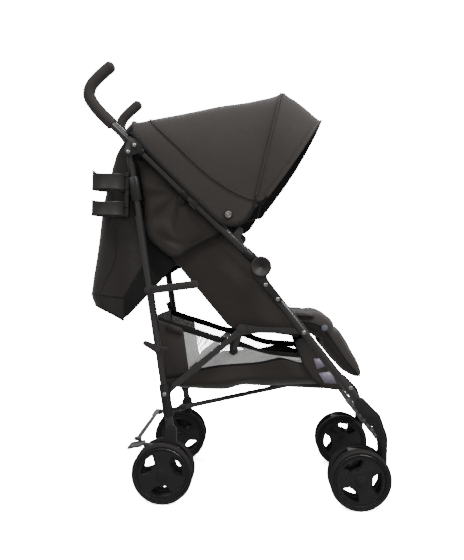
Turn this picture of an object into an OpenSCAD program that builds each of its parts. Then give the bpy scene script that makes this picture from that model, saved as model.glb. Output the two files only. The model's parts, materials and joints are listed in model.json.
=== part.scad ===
/* [Overall] */
// distance between the rear and the front wheel axles
wheelbase = 473; // [400:1:560]
// reference height of the frame, up to the top of the grips
frame_h = 1068; // [890:1:1282]
// side distance from the middle to each pair of legs
leg_y = 200; // [168:1:240]
// wheel diameter over the tyre
wheel_d = 148; // [124:1:178]

/* [Frame tubes] */
// push tube and front leg, width seen from the side
tube_w = 20; // [16:0.5:24]
// push tube and front leg, width seen from the front
tube_d = 24; // [20:0.5:28]
// rear leg, width seen from the side
rear_w = 18; // [15:0.5:22]
// angle of the push tube below the horizontal
push_angle = 42.4; // [38:0.1:47]
// length of the push tube from the hub to the start of the handle bend
push_len = 543; // [500:1:600]
// width of the diagonal link seen from the side
link_w = 15; // [12:0.5:18]
// thickness of the flat links
link_t = 10; // [8:0.5:11]
// height of the seat rail
rail_w = 15; // [12:0.5:18]

/* [Handle] */
// bend radius of the handle
grip_bend = 63; // [52:1:76]
// diameter of the foam grip
grip_d = 28; // [24:0.5:34]
// angle of the bend covered by the foam
grip_sweep = 121; // [100:1:140]
// length of foam on the straight part
grip_straight = 46; // [30:1:60]

/* [Wheels] */
// width of one wheel over the tyre
wheel_w = 30; // [25:0.5:33]
// gap between the two wheels of a pair
pair_gap = 30; // [26:0.5:36]
// depth of the tyre from tread to rim
tyre_t = 14; // [10:0.5:18]
// distance from the swivel axis back to the front axle
caster_trail = 54; // [45:1:65]
// radius of the wheel axles
axle_r = 4; // [3:0.25:5]

/* [Seat] */
// half width of the seat
seat_half = 150; // [125:1:158]
// thickness of the seat cushion
seat_t = 26; // [20:1:34]
// length of the backrest
back_len = 405; // [360:5:440]
// angle of the backrest above the horizontal
back_angle = 48; // [44:1:60]

/* [Hood] */
// thickness of the hood fabric in this model
cloth_t = 3; // [2.4:0.1:4]
// roundness of the hood arch, larger is squarer
arch_n = 3.4; // [2.6:0.1:4]

/* [Basket] */
// depth of the basket
basket_h = 92; // [76:1:110]
// half width of the basket at its hem
basket_half = 158; // [130:1:162]

/* [Cup holder] */
// inner radius of the cup rings
cup_r = 36.5; // [30:0.5:42]
// wall of the cup rings
cup_wall = 6; // [4:0.5:8]

/* [Fits] */
// radial clearance of turning pins
fit = 0.05; // [0.02:0.01:0.1]
// side gap between parts that move past each other
side_gap = 0.4; // [0.3:0.05:0.8]

/* [Output] */
// part to draw

/* [Hidden] */
$fn = 48;

wheel_r = wheel_d/2;
// a point of the side view from its shares of the wheelbase and of the frame height
function at(f) = [f[0]*wheelbase, f[1]*frame_h];
function along(p, q, t) = p + (q - p)*t;
function unit(v) = v/norm(v);
function far_from(p, q, s) = p + unit(q - p)*s;

hub = at([0.4736, 0.5412]);
leg_top = at([-0.2114, 0.7903]);
rail_front = at([0.7019, 0.3933]);
rail_back = at([0.3848, 0.3933]);
link_low = at([0.0, 0.2453]);
front_end = at([1.0465, 0.2088]);
rear_end = at([0.0402, 0.1420]);
push_u = [cos(push_angle), -sin(push_angle)];
push_n = [sin(push_angle), cos(push_angle)];
bend_start = hub - push_u*push_len;
bend_mid = bend_start + push_n*grip_bend;
grip_r = grip_d/2;
back_x = bend_mid[0] - grip_bend - grip_r;
mid_x = (wheelbase + wheel_r + back_x)/2;
front_top = far_from(rail_front, front_end, -147);
swivel_x = wheelbase + caster_trail;
cheek = 4;
in_y = leg_y - tube_d/2;
out_y = leg_y + tube_d/2;
link_y1 = in_y - 5.5;
link_y0 = link_y1 - link_t;
rail_y1 = link_y0 - 2;
rail_y0 = rail_y1 - link_t;
foot_w = pair_gap - 4;

// round or flat oval bar section
module oval(w, d) {
    flat = d - w;
    translate([0, flat/2]) circle(d = w);
    translate([0, -flat/2]) circle(d = w);
    square([w, flat], center = true);
}
// straight bar between two side view points
module bar(p, q, w, d, y) {
    translate([p[0], y, p[1]])
        rotate([0, atan2(q[0] - p[0], q[1] - p[1]), 0])
            linear_extrude(norm(q - p)) oval(w, d);
}
// straight flat strip between two side view points
module strip(p, q, w, y0, y1) {
    translate([p[0], y1, p[1]])
        rotate([90, atan2(p[1] - q[1], q[0] - p[0]), 0])
            translate([0, -w/2, 0]) cube([norm(q - p), w, y1 - y0]);
}
// cylinder across the stroller
module pin(p, r, y0, y1) {
    translate([p[0], y0, p[1]]) rotate([-90, 0, 0]) cylinder(r = r, h = y1 - y0);
}
// closed sheet from two matching grids of points
module sheet(a, b) {
    m = len(a);
    n = len(a[0]);
    pts = [for (g = [a, b]) for (row = g) for (p = row) p];
    o = m*n;
    top = [for (i = [0:m-2]) for (j = [0:n-2])
        each [[i*n+j, (i+1)*n+j+1, i*n+j+1], [i*n+j, (i+1)*n+j, (i+1)*n+j+1]]];
    low = [for (f = top) [f[2]+o, f[1]+o, f[0]+o]];
    rim_j = [for (i = [0:m-2]) each [
        [(i+1)*n, i*n, (i+1)*n+o], [(i+1)*n+o, i*n, i*n+o],
        [i*n+n-1, (i+1)*n+n-1, i*n+n-1+o], [i*n+n-1+o, (i+1)*n+n-1, (i+1)*n+n-1+o]]];
    rim_i = [for (j = [0:n-2]) each [
        [j, j+1, j+o], [j+o, j+1, j+1+o],
        [(m-1)*n+j+1, (m-1)*n+j, (m-1)*n+j+1+o], [(m-1)*n+j+1+o, (m-1)*n+j, (m-1)*n+j+o]]];
    polyhedron(pts, concat(top, low, rim_j, rim_i), convexity = 8);
}
module side(s) {
    if (s > 0) children();
    else mirror([0, 1, 0]) children();
}
module placed() {
    translate([-mid_x, 0, 0]) children();
}

/* frame tubes, drawn for the left side */
module push_tube(s) color("#2a2725") side(s) {
    end = hub - push_u*36;
    bar(bend_start, end, tube_w, tube_d, leg_y);
}
module grip(s) color("#35302e") side(s) {
    low = bend_start + push_u*grip_straight;
    difference() {
        bar(bend_start - push_u*0.3, low, grip_d + 0.8, grip_d + 5, leg_y);
        bar(bend_start - push_u*0.2, low + push_u*5, tube_w + 0.2, tube_d + 0.2, leg_y);
    }
    a0 = push_angle + 180;
    translate([bend_mid[0], leg_y, bend_mid[1]]) rotate([90, 0, 0])
        rotate([0, 0, 270 - push_angle - grip_sweep])
            rotate_extrude(angle = grip_sweep) translate([grip_bend, 0]) circle(r = grip_r);
    tip = bend_mid + grip_bend*[cos(270 - push_angle - grip_sweep), sin(270 - push_angle - grip_sweep)];
    translate([tip[0], leg_y, tip[1]]) sphere(r = grip_r - 0.6);
}
clamp_at = leg_top + push_n*22;
module upper_bracket(s) color("#1f1d1c") side(s) {
    difference() {
        union() {
            bar(clamp_at - push_u*24, clamp_at + push_u*26, tube_w + 9, tube_d + 9, leg_y);
            for (y = [in_y - cheek - 1.2, out_y + 1.2])
                hull() {
                    pin(leg_top, 12, y, y + cheek);
                    pin(clamp_at - push_u*8, 12, y, y + cheek);
                    pin(clamp_at + push_u*10, 12, y, y + cheek);
                }
        }
        bar(clamp_at - push_u*40, clamp_at + push_u*40, tube_w + 0.2, tube_d + 0.2, leg_y);
        pin(leg_top, 15, in_y - 1.2, out_y + 1.2);
    }
    pin(leg_top, 4, in_y - cheek, out_y + cheek);
    pin(leg_top, 6.5, out_y + cheek + 1, out_y + cheek + 3);
    pin(clamp_at, 6.5, out_y + cheek + 1, out_y + cheek + 3);
}
hub_r = 25;
module hub_socket(s) color("#242120") side(s) {
    p = hub - push_u*52;
    for (y = [in_y - cheek - 1, out_y + 1])
        hull() {
            pin(hub, hub_r - 2, y, y + cheek);
            pin(p, 13, y, y + cheek);
        }
    difference() {
        bar(hub - push_u*62, hub - push_u*30, tube_w + 8, tube_d + 9.6, leg_y);
        bar(hub - push_u*70, hub - push_u*34, tube_w + 0.2, tube_d + 0.2, leg_y);
        pin(hub, hub_r + 2, in_y - 1, out_y + 1);
    }
    pin(hub, 6, in_y - 3, out_y + 3);
    pin(hub, hub_r, out_y + cheek + 0.8, out_y + cheek + 5);
}
module hub_body(s) color("#1c1a19") side(s) {
    low = far_from(front_top, front_end, 60);
    difference() {
        hull() {
            pin(hub, hub_r - 3, in_y - 0.6, out_y + 0.6);
            pin(front_top, 15, in_y - 3.4, out_y + 3.4);
            pin(low, 12.5, in_y - 3.4, out_y + 3.4);
        }
        pin(hub, hub_r + 1, in_y - 6, in_y - 0.6);
        pin(hub, hub_r + 1, out_y + 0.6, out_y + 6);
        pin(hub, 6 + fit, in_y - 6, out_y + 6);
        bar(front_top, far_from(front_top, front_end, 90), tube_w + 0.2, tube_d + 0.2, leg_y);
    }
    for (t = [8, 50])
        pin(far_from(front_top, front_end, t), 5, out_y + 3, out_y + 5);
}
module front_leg(s) color("#2a2725") side(s) {
    bar(far_from(front_top, front_end, 2), front_end, tube_w, tube_d, leg_y);
    pin(rail_front, 9, rail_y1 + side_gap, in_y + 3);
    pin(rail_front, 5, rail_y0 - side_gap - 1, rail_y1 + 2);
    pin(rail_front, 8, rail_y0 - side_gap - 3, rail_y0 - side_gap);
    pin(rail_front, 6, out_y - 1, out_y + 2);
    pin(far_from(front_end, front_top, 82), 5, out_y - 1, out_y + 2);
}
top_z = wheel_d + 16;
lock_at = [wheelbase + 28, wheel_r + 47];
module front_bracket(s) color("#1f1d1c") side(s) {
    difference() {
        union() {
            hull() {
                pin(far_from(front_end, front_top, 34), 15, in_y - 4, out_y + 4);
                pin(front_end + [8, -6], 17, in_y - 4, out_y + 4);
            }
            hull() {
                pin(front_end + [10, -4], 15, leg_y - 14, leg_y + 14);
                pin([swivel_x - 2, top_z + 14], 11, leg_y - 13, leg_y + 13);
            }
            hull() {
                pin([swivel_x - 2, top_z + 14], 11, leg_y - 12, leg_y + 12);
                translate([swivel_x, leg_y, top_z - 14]) cylinder(r = 13, h = 14);
            }
            translate([swivel_x, leg_y, wheel_r + 50]) cylinder(r = 12.5, h = top_z - wheel_r - 54);
        }
        bar(front_end, far_from(front_end, front_top, 90), tube_w + 0.2, tube_d + 0.2, leg_y);
        translate([swivel_x, leg_y, wheel_r + 40]) cylinder(r = 5 + fit, h = top_z - wheel_r - 46);
    }
    pin(far_from(front_end, front_top, 4), 5.5, out_y + 3.4, out_y + 6);
}
module caster_fork(s) color("#1c1a19") side(s) {
    translate([swivel_x, leg_y, wheel_r + 24]) cylinder(r = foot_w/2 - 0.5, h = 25);
    hull() {
        pin([swivel_x - 3, wheel_r + 33], 12, leg_y - foot_w/2, leg_y + foot_w/2);
        pin([wheelbase, wheel_r], 13, leg_y - foot_w/2, leg_y + foot_w/2);
    }
    for (y = [leg_y - foot_w/2, leg_y + 10 + side_gap])
        hull() {
            pin(lock_at, 5, y, y + foot_w/2 - 10 - side_gap);
            pin([swivel_x - 26, wheel_r + 22], 9, y, y + foot_w/2 - 10 - side_gap);
        }
    pin(lock_at, 2.5, leg_y - 12, leg_y + 12);
    translate([swivel_x, leg_y, wheel_r + 45]) cylinder(r = 5, h = top_z - wheel_r - 56);
    pin([wheelbase, wheel_r], axle_r, leg_y - pair_gap/2 - wheel_w - 1.6, leg_y + pair_gap/2 + wheel_w + 1.6);
    for (k = [-1, 1])
        pin([wheelbase, wheel_r], 8, leg_y + k*(pair_gap/2 + wheel_w + 1.5) - 1.1,
            leg_y + k*(pair_gap/2 + wheel_w + 1.5) + 1.1);
}
module caster_lock(s) color("#8d8c8b") side(s) difference() {
    union() {
        hull() {
            pin(lock_at, 5, leg_y - 10, leg_y + 10);
            pin(lock_at + [-18, 14], 5, leg_y - 10, leg_y + 10);
        }
        hull() {
            pin(lock_at + [-18, 14], 5, leg_y - 10, leg_y + 10);
            pin(lock_at + [-54, 18], 3, leg_y - 12, leg_y + 12);
        }
    }
    pin(lock_at, 2.5 + fit, leg_y - 14, leg_y + 14);
}
module rear_leg(s) color("#2a2725") side(s) {
    difference() {
        union() {
            bar(far_from(leg_top, rear_end, 6), rear_end, rear_w, tube_d - 2, leg_y);
            pin(leg_top, 10.5, leg_y - tube_d/2 + 1, leg_y + tube_d/2 - 1);
        }
        pin(leg_top, 4 + fit, leg_y - tube_d, leg_y + tube_d);
    }
    pin(link_low, 9, link_y1 + side_gap, in_y + 3);
    pin(link_low, 5, link_y0 - side_gap - 1, link_y1 + 2);
    pin(link_low, 8, link_y0 - side_gap - 3, link_y0 - side_gap);
}
cross_low = link_low + [30, -30];
lug_len = 42;
cross_high = far_from(front_end, front_top, 82);
cross_y = in_y - 24;
// direction of the cross link at rest and folded, from its rear end
function cross_rest(s) = unit([cross_high[0] - cross_low[0] - 24, -2*cross_y + 14, cross_high[1] - cross_low[1] - 12]);
leg_up = unit(leg_top - rear_end);
cross_fold = unit([leg_up[0], -0.17, leg_up[1]]);
cross_len = norm([cross_high[0] - cross_low[0] - 24, -2*cross_y + 14, cross_high[1] - cross_low[1] - 12]);
// turns local x to the link direction and local z to its hinge axis
module cross_frame(s) {
    d = cross_rest(s);
    z = unit(cross(d, cross_fold));
    y = cross(z, d);
    off = s > 0 ? 9 : -9;
    translate([cross_low[0] - off, cross_y, cross_low[1] + off])
        multmatrix([[d[0], y[0], z[0], 0], [d[1], y[1], z[1], 0], [d[2], y[2], z[2], 0], [0, 0, 0, 1]])
            children();
}
module rear_foot(s) color("#1f1d1c") side(s) {
    knee = [rear_end[0] - 4, wheel_r + 48];
    difference() {
        union() {
            hull() {
                pin(far_from(rear_end, leg_top, 20), 14, leg_y - foot_w/2, leg_y + foot_w/2);
                pin(knee, 15, leg_y - foot_w/2, leg_y + foot_w/2);
                pin([0, wheel_r], 14, leg_y - foot_w/2, leg_y + foot_w/2);
            }
            bar(far_from(link_low, leg_top, 22), far_from(link_low, leg_top, -56), rear_w + 7, tube_d + 3.4, leg_y);
            cross_frame(s) translate([-lug_len, -4, 4.2 + side_gap]) cube([lug_len, 8, 4.6]);
            if (s > 0) hull() {
                cross_frame(s) translate([-18, -4, 4.2 + side_gap]) cube([6, 8, 4.6]);
                pin(far_from(link_low, leg_top, -22), 4, in_y, leg_y);
            }
        }
        bar(rear_end, leg_top, rear_w + 0.3, tube_d - 1.7, leg_y);
        pin(link_low, 9.3, link_y1 - 8, in_y + 6);
    }
    pin([0, wheel_r], axle_r, leg_y - pair_gap/2 - wheel_w - 1.6, leg_y + pair_gap/2 + wheel_w + 1.6);
    for (k = [-1, 1])
        pin([0, wheel_r], 8, leg_y + k*(pair_gap/2 + wheel_w + 1.5) - 1.1,
            leg_y + k*(pair_gap/2 + wheel_w + 1.5) + 1.1);
    cross_frame(s) {
        translate([0, 0, 4 + side_gap]) cylinder(r = 8, h = 5);
        translate([0, 0, -5]) cylinder(r = 3, h = 12);
        translate([0, 0, -7]) cylinder(r = 5.5, h = 2.6);
    }
    pin(link_low, 5.5, out_y + 1.2, out_y + 3.7);
}
module seat_rail(s) color("#262322") side(s) {
    difference() {
        union() {
            strip(rail_back, rail_front, rail_w, rail_y0, rail_y1);
            pin(rail_front, 11, rail_y0, rail_y1);
            hull() {
                pin(rail_back, 14, rail_y0, rail_y1);
                pin(rail_back + [34, 0], 9, rail_y0, rail_y1);
            }
            hull() {
                pin(rail_back + [-10, -26], 7, rail_y0, rail_y1);
                pin(rail_back + [-16, -46], 6, rail_y0 + 2, rail_y1 - 2);
                pin(rail_back + [-4, -6], 8, rail_y0, rail_y1);
            }
        }
        pin(rail_front, 5 + fit, rail_y0 - 1, rail_y1 + 1);
    }
}
module diagonal_link(s) color("#262322") side(s) {
    difference() {
        union() {
            strip(link_low, rail_back, link_w, link_y0, link_y1);
            pin(link_low, 12, link_y0, link_y1);
            pin(rail_back, 13, link_y0, link_y1);
            strip(along(link_low, rail_back, 0.34), along(link_low, rail_back, 0.44), link_w + 5,
                link_y0 - 1.5, link_y1);
        }
        pin(link_low, 5 + fit, link_y0 - 1, link_y1 + 1);
    }
    pin(rail_back, 5, link_y1 - 0.5, link_y1 + 1.6);
    pin(rail_back + [9, 3], 3.5, link_y1 - 0.5, link_y1 + 1.6);
}
module cross_link(s) color("#2a2725") side(s) {
    cross_frame(s) difference() {
        union() {
            translate([0, -6, -4]) cube([cross_len, 12, 8]);
            translate([0, 0, -4]) cylinder(r = 9, h = 8);
            translate([cross_len, 0, -4]) cylinder(r = 8, h = 8);
        }
        translate([0, 0, -6]) cylinder(r = 3 + fit, h = 12);
    }
}

/* wheels */
module wheel(x, y, face, phase) color("#1d1b1b") {
    rim_r = wheel_r - tyre_t;
    half = wheel_w/2;
    crown = 8;
    translate([x, y, wheel_r]) rotate([90, 0, 0]) {
        rotate_extrude() {
            for (k = [-1, 1]) translate([wheel_r - crown, k*(half - crown)]) circle(r = crown);
            translate([wheel_r - crown - 1, -half + crown]) square([crown + 1, wheel_w - 2*crown]);
            translate([rim_r + 0.2, -half]) square([tyre_t - crown - 0.2, wheel_w]);
        }
        difference() {
            union() {
                rotate_extrude() translate([rim_r - 9, -half + 3]) square([9, wheel_w - 6]);
                translate([0, 0, -4]) cylinder(r = rim_r - 4, h = 8);
                translate([0, 0, face > 0 ? -half : -half - 1.7]) cylinder(r = 13, h = wheel_w + 1.7);
                translate([0, 0, -half + 5]) cylinder(r = 17, h = wheel_w - 10);
            }
            translate([0, 0, -half - 5]) cylinder(r = axle_r + fit, h = wheel_w + 10);
            for (k = [0:2]) rotate([0, 0, phase + 120*k])
                translate([0, 0, -half]) linear_extrude(wheel_w) hull() {
                    for (e = [-1, 1]) {
                        rotate(e*24) translate([rim_r*0.45, 0]) circle(r = 5, $fn = 32);
                        rotate(e*33) translate([rim_r*0.68, 0]) circle(r = 6, $fn = 32);
                    }
                    translate([rim_r*0.74, 0]) circle(r = 5, $fn = 32);
                }
        }
    }
}
pair_off = pair_gap/2 + wheel_w/2;

/* brake */
pedal_at = [-18, wheel_r + 54];
module brake_pedal(s) color("#8d8c8b") side(s) {
    difference() {
        union() {
            hull() {
                pin(pedal_at, 8, leg_y - 8, leg_y + 8);
                pin(pedal_at + [-34, 11], 3, leg_y - 8, leg_y + 8);
            }
            hull() {
                pin(pedal_at + [-34, 11], 3, leg_y - 26, leg_y + 26);
                pin(pedal_at + [-66, 4], 3, leg_y - 26, leg_y + 26);
            }
        }
        pin(pedal_at, 4 + fit, leg_y - 40, leg_y + 40);
    }
}
module pedal_axle(s) side(s) {
    pin(pedal_at, 4, leg_y - 12, leg_y + 12);
    for (y = [leg_y - foot_w/2, leg_y + 8 + side_gap])
        hull() {
            pin(pedal_at, 7, y, y + foot_w/2 - 8 - side_gap);
            pin([8, wheel_r + 46], 9, y, y + foot_w/2 - 8 - side_gap);
        }
}
module brake_link() color("#6f6e6d") {
    p = pedal_at + [-50, 16.5];
    for (s = [-1, 1]) side(s)
        translate([p[0] - 9, leg_y - 28, p[1] - 3.5]) cube([18, 13, 8]);
    translate([p[0] - 6, -leg_y + 20, p[1] - 1.5]) cube([12, 2*leg_y - 40, 4]);
}

/* pieces on the right rear leg */
bar_at = far_from(leg_top, rear_end, 336);
bar_off = 9.6;
module carry_handle() color("#3b3836") side(-1) {
    y0 = out_y + bar_off;
    difference() {
        hull() {
            pin(bar_at, 9.5, y0, y0 + 12);
            pin(bar_at + [112, 17], 9.5, y0, y0 + 12);
        }
        pin(bar_at, 4 + fit, y0 - 1, y0 + 14);
    }
}
latch_at = far_from(leg_top, rear_end, 480);
module fold_latch() color("#3b3836") side(-1) {
    y0 = leg_y + tube_d/2 + side_gap;
    difference() {
        union() {
            hull() {
                pin(latch_at, 9, y0, y0 + 7);
                pin(latch_at + [-30, 14], 6, y0, y0 + 7);
            }
            hull() {
                pin(latch_at, 8, y0, y0 + 7);
                pin(latch_at + [20, 2], 5, y0, y0 + 7);
            }
        }
        pin(latch_at, 4 + fit, y0 - 1, y0 + 9);
    }
}
module leg_studs() side(-1) {
    y = leg_y + tube_d/2;
    pin(bar_at, 9, y - 3, y + bar_off - side_gap);
    pin(bar_at, 4, y, y + bar_off + 12.4);
    pin(bar_at, 7, y + bar_off + 12.4, y + bar_off + 14.2);
    pin(latch_at, 4, y - 3, y + side_gap + 7.4);
    pin(latch_at, 6.5, y + side_gap + 7.4, y + side_gap + 9);
}
cup_mid = far_from(leg_top, rear_end, 96) + [-64, 0];
cup_out = cup_r + cup_wall;
cup_y = leg_y + 2;
module cup_holder() color("#1f1d1c") side(-1) {
    z = cup_mid[1];
    difference() {
        union() {
            translate([cup_mid[0], cup_y, z + 4]) cylinder(r = cup_out, h = 14);
            translate([cup_mid[0], cup_y, z - 62]) cylinder(r = cup_out - 1, h = 12);
            translate([cup_mid[0] + cup_r, cup_y - 9, z - 62])
                cube([18, 18, 80]);
            bar(far_from(leg_top, rear_end, 62), far_from(leg_top, rear_end, 116), rear_w + 7, tube_d + 4, leg_y);
        }
        translate([cup_mid[0], cup_y, z - 70]) cylinder(r = cup_r, h = 120);
        bar(leg_top, far_from(leg_top, rear_end, 300), rear_w + 0.2, tube_d - 1.8, leg_y);
    }
}

/* hood: each station has a lower side point and a top point */
hood_y0 = out_y + 0.3;
hood_pivot = at([0.3044, 0.6535]);
hood_low = [at([-0.199, 0.8296]), at([-0.085, 0.7818]), at([0.053, 0.7228]), at([0.19, 0.6667]),
    at([0.317, 0.6339]), at([0.430, 0.668])];
hood_top = [at([-0.2, 0.870]), at([-0.08, 0.892]), at([0.1, 0.913]), at([0.3, 0.933]),
    at([0.47, 0.951]), at([0.575, 0.962])];
visor_low = [at([0.436, 0.672]), at([0.462, 0.684]), at([0.495, 0.695])];
visor_top = [at([0.585, 0.961]), at([0.675, 0.938]), at([0.785, 0.894])];
arch_steps = 20;
function arch_row(l, t, y, drop) = [for (k = [0:arch_steps])
    let (a = 180*k/arch_steps, c = cos(a),
        u = pow(abs(c), 2/arch_n)*sign(c), v = pow(max(sin(a), 0), 2/arch_n))
    [l[0] + (t[0] - l[0])*v, y*u, l[1] + (t[1] - drop - l[1])*v]];
module hood_rear() color("#3f3a39") sheet(
    [for (i = [0:5]) arch_row(hood_low[i], hood_top[i], hood_y0 + cloth_t, 0)],
    [for (i = [0:5]) arch_row(hood_low[i], hood_top[i], hood_y0, cloth_t)]);
module hood_visor() color("#3f3a39") sheet(
    [for (i = [0:2]) arch_row(visor_low[i], visor_top[i], hood_y0 + cloth_t, 0)],
    [for (i = [0:2]) arch_row(visor_low[i], visor_top[i], hood_y0, cloth_t)]);
bow_r = 2.5;
module hood_bow() color("#55504e") {
    l = visor_low[0];
    t = visor_top[0];
    row = arch_row(l + [4, 3], t, hood_y0 - 1.6 - bow_r, cloth_t + bow_r + 3.4);
    sheet([for (d = [0, 1]) [for (p = row) p + [bow_r*(d*2 - 1) + 1, 0, bow_r]]],
        [for (d = [0, 1]) [for (p = row) p + [bow_r*(d*2 - 1) + 1, 0, -bow_r]]]);
    for (s = [-1, 1]) side(s) difference() {
        hull() {
            pin(hood_pivot, 7, hood_y0 - bow_r*2 - 0.6, hood_y0 - 0.6);
            pin(l + [5, 6], 3, hood_y0 - bow_r*2 - 0.6, hood_y0 - 0.6);
        }
        pin(hood_pivot, 3 + fit, hood_y0 - 9, hood_y0 + 2);
    }
}
module hood_button(s) color("#b9b9b8") side(s) {
    t = hub - push_u*(hub - hood_pivot)*push_u;
    hull() {
        pin(t + push_n*(tube_w/2 + 6.3), 6, in_y + 4, out_y - 6);
        pin(hood_pivot, 8, leg_y - 4, out_y - 6);
    }
    pin(hood_pivot, 3, leg_y, hood_y0 - 0.3);
    pin(hood_pivot, 10, hood_y0 + cloth_t + 0.3, hood_y0 + cloth_t + 5);
}

/* soft side pieces */
wing_y = in_y - cheek - 1.4 - cloth_t;
module side_wing(s) color("#3f3a39") side(s) {
    translate([0, wing_y + cloth_t, 0]) rotate([90, 0, 0]) linear_extrude(cloth_t)
        polygon([along(leg_top, rear_end, 0.06) + [12, 0], hub - push_u*400 + push_n*4, hub - push_u*56 + push_n*2,
            hub - push_u*60 - push_n*44, at([0.03, 0.557]), at([-0.108, 0.61])]);
}
cover_out = [at([-0.215, 0.855]), at([-0.285, 0.79]), at([-0.36, 0.69]), at([-0.38, 0.6]),
    at([-0.40, 0.50]), at([-0.41, 0.445])];
cover_in = [at([-0.20, 0.803]), at([-0.14, 0.72]), at([-0.12, 0.62]), at([-0.10, 0.545]),
    at([-0.10, 0.50]), at([-0.10, 0.452])];
cover_w = [in_y - cheek - 1.6, 150, 148, 152, 154, 152];
cover_steps = 16;
function cover_row(i, e) = [for (k = [0:cover_steps])
    let (a = 180*k/cover_steps, c = cos(a), u = pow(abs(c), 0.5)*sign(c), v = pow(max(sin(a), 0), 0.5),
        p = cover_in[i], q = cover_out[i])
    [p[0] + (q[0] + e - p[0])*v, (cover_w[i] - e)*u, p[1] + (q[1] - p[1])*v]];
module rear_cover() color("#3a3534") sheet(
    [for (i = [0:5]) cover_row(i, cloth_t)], [for (i = [0:5]) cover_row(i, 0)]);

/* seat */
seat_z = rail_back[1] + 16;
back_low = [rail_back[0] - 5, rail_back[1] + 12];
back_u = [-cos(back_angle), sin(back_angle)];
back_n = [sin(back_angle), cos(back_angle)];
module backrest() color("#2b2826") {
    hull() for (t = [18, back_len - 8]) for (e = [0, 14])
        pin(back_low + back_u*t + back_n*e, 7, -seat_half + 6, seat_half - 6);
    pin(back_low, 5, -rail_y0 + side_gap, rail_y0 - side_gap);
    for (s = [-1, 1]) side(s)
        strip(back_low, back_low + back_u*24, 7, seat_half - 40, seat_half - 20);
}
leg_rest_at = [rail_front[0] + 54, rail_front[1] + 8];
lug_y = seat_half - 3.6;
module seat_pad() color("#2b2826") {
    hull() for (x = [rail_back[0] + 18, rail_front[0] + 26]) for (z = [seat_z, seat_z + seat_t - 8])
        pin([x, z], 8, -seat_half + 2, seat_half - 2);
    translate([rail_back[0] + 16, -rail_y0 + 0.3, seat_z - 12])
        cube([rail_front[0] - rail_back[0] - 32, 2*rail_y0 - 0.6, 6]);
    for (s = [-1, 1]) side(s) {
        strip([rail_front[0] + 10, leg_rest_at[1] + 4], leg_rest_at, 12, lug_y, lug_y + 3);
        pin(leg_rest_at, 9, lug_y, lug_y + 3);
        pin(leg_rest_at, 4, lug_y - 9, lug_y + 1);
    }
    side(-1) pin(leg_rest_at, 4, lug_y + 2, lug_y + 7.2);
}
module leg_rest() color("#2b2826") {
    pad = [leg_rest_at + [-8, 20], leg_rest_at + [14, 18], leg_rest_at + [40, -14], leg_rest_at + [72, -92],
        leg_rest_at + [58, -104], leg_rest_at + [14, -52], leg_rest_at + [-8, -16]];
    difference() {
        translate([0, lug_y - 0.4, 0]) rotate([90, 0, 0]) linear_extrude(2*lug_y - 0.8)
            polygon(pad);
        for (s = [-1, 1]) side(s) pin(leg_rest_at, 4 + fit, lug_y - 10, lug_y + 1);
    }
}
module leg_rest_button() color("#7c8794") side(-1)
    difference() {
        pin(leg_rest_at, 8, lug_y + 5.2, lug_y + 11);
        pin(leg_rest_at, 4 + fit, lug_y + 5, lug_y + 9.4);
    }
module harness() color("#26221f") {
    for (s = [-1, 1]) side(s) {
        a = back_low + back_u*60 + back_n*21.3;
        b = back_low + back_u*290 + back_n*21.3;
        translate([0, 62, 0]) rotate([90, 0, 0]) linear_extrude(34)
            polygon([a, b, b + back_n*8, a + back_n*8]);
    }
}
buckle_at = [rail_back[0] + 70, seat_z + seat_t + 0.3];
module buckle() color("#1d1b1b") difference() {
    translate([buckle_at[0] - 10, -22, buckle_at[1]]) cube([20, 44, 40]);
    translate([buckle_at[0] + 4, -9, buckle_at[1] + 12]) cube([10, 18, 18]);
}
module buckle_button() color("#9a2b25")
    translate([buckle_at[0] + 6.2, -8.9, buckle_at[1] + 12.1]) cube([5.8, 17.8, 17.8]);

/* basket and footrest */
basket_back = 14;
basket_front = cross_high[0] - 44;
module frustum(x0, x1, w0, w1, z0, z1, rise, lean) {
    polyhedron([[x0, -w0, z0], [x0, w0, z0], [x1, w0, z0 + rise], [x1, -w0, z0 + rise],
        [x0 - lean, -w1, z1], [x0 - lean, w1, z1], [x1 + lean, w1, z1], [x1 + lean, -w1, z1]],
        [[3, 2, 1, 0], [4, 5, 6, 7], [0, 1, 5, 4], [1, 2, 6, 5], [2, 3, 7, 6], [3, 0, 4, 7]]);
}
module basket() color("#4a4644") {
    z = link_low[1] + 9;
    difference() {
        frustum(basket_back + 8, basket_front, basket_half - 10, basket_half, z, z + basket_h, 18, 6);
        frustum(basket_back + 8 + cloth_t, basket_front - cloth_t, basket_half - 10 - cloth_t,
            basket_half - cloth_t, z + cloth_t, z + basket_h + 0.1, 18, 6);
        translate([basket_back - 30, -basket_half - 9, z + basket_h - 0.05])
            cube([basket_front + 90, 2*basket_half + 18, 20]);
    }
    tab = far_from(leg_top, rear_end, 496);
    for (s = [-1, 1]) side(s)
        translate([tab[0] - 1, basket_half - 16, tab[1]]) cube([basket_back + 12 - tab[0], leg_y - tube_d/2 + 1 - side_gap/2 - basket_half + 16, 6]);
}
leg_tilt = atan2(front_top[1] - front_end[1], front_end[0] - front_top[0]);
module on_leg(t, h) {
    p = far_from(front_end, front_top, t) + h*[sin(leg_tilt), cos(leg_tilt)];
    translate([p[0], 0, p[1]]) rotate([0, leg_tilt, 0]) children();
}
module footrest() color("#8d8c8b") {
    half = in_y - 7;
    on_leg(-5, -22) cube([126, 2*half, 5], center = true);
    for (k = [0:7]) on_leg(-60 + 15*k, -17.5) cube([7, 2*half - 14, 6], center = true);
    for (s = [-1, 1])
        on_leg(56, -12) translate([0, s*(half + 3), 0]) cube([12, 7.4, 26], center = true);
}

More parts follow.
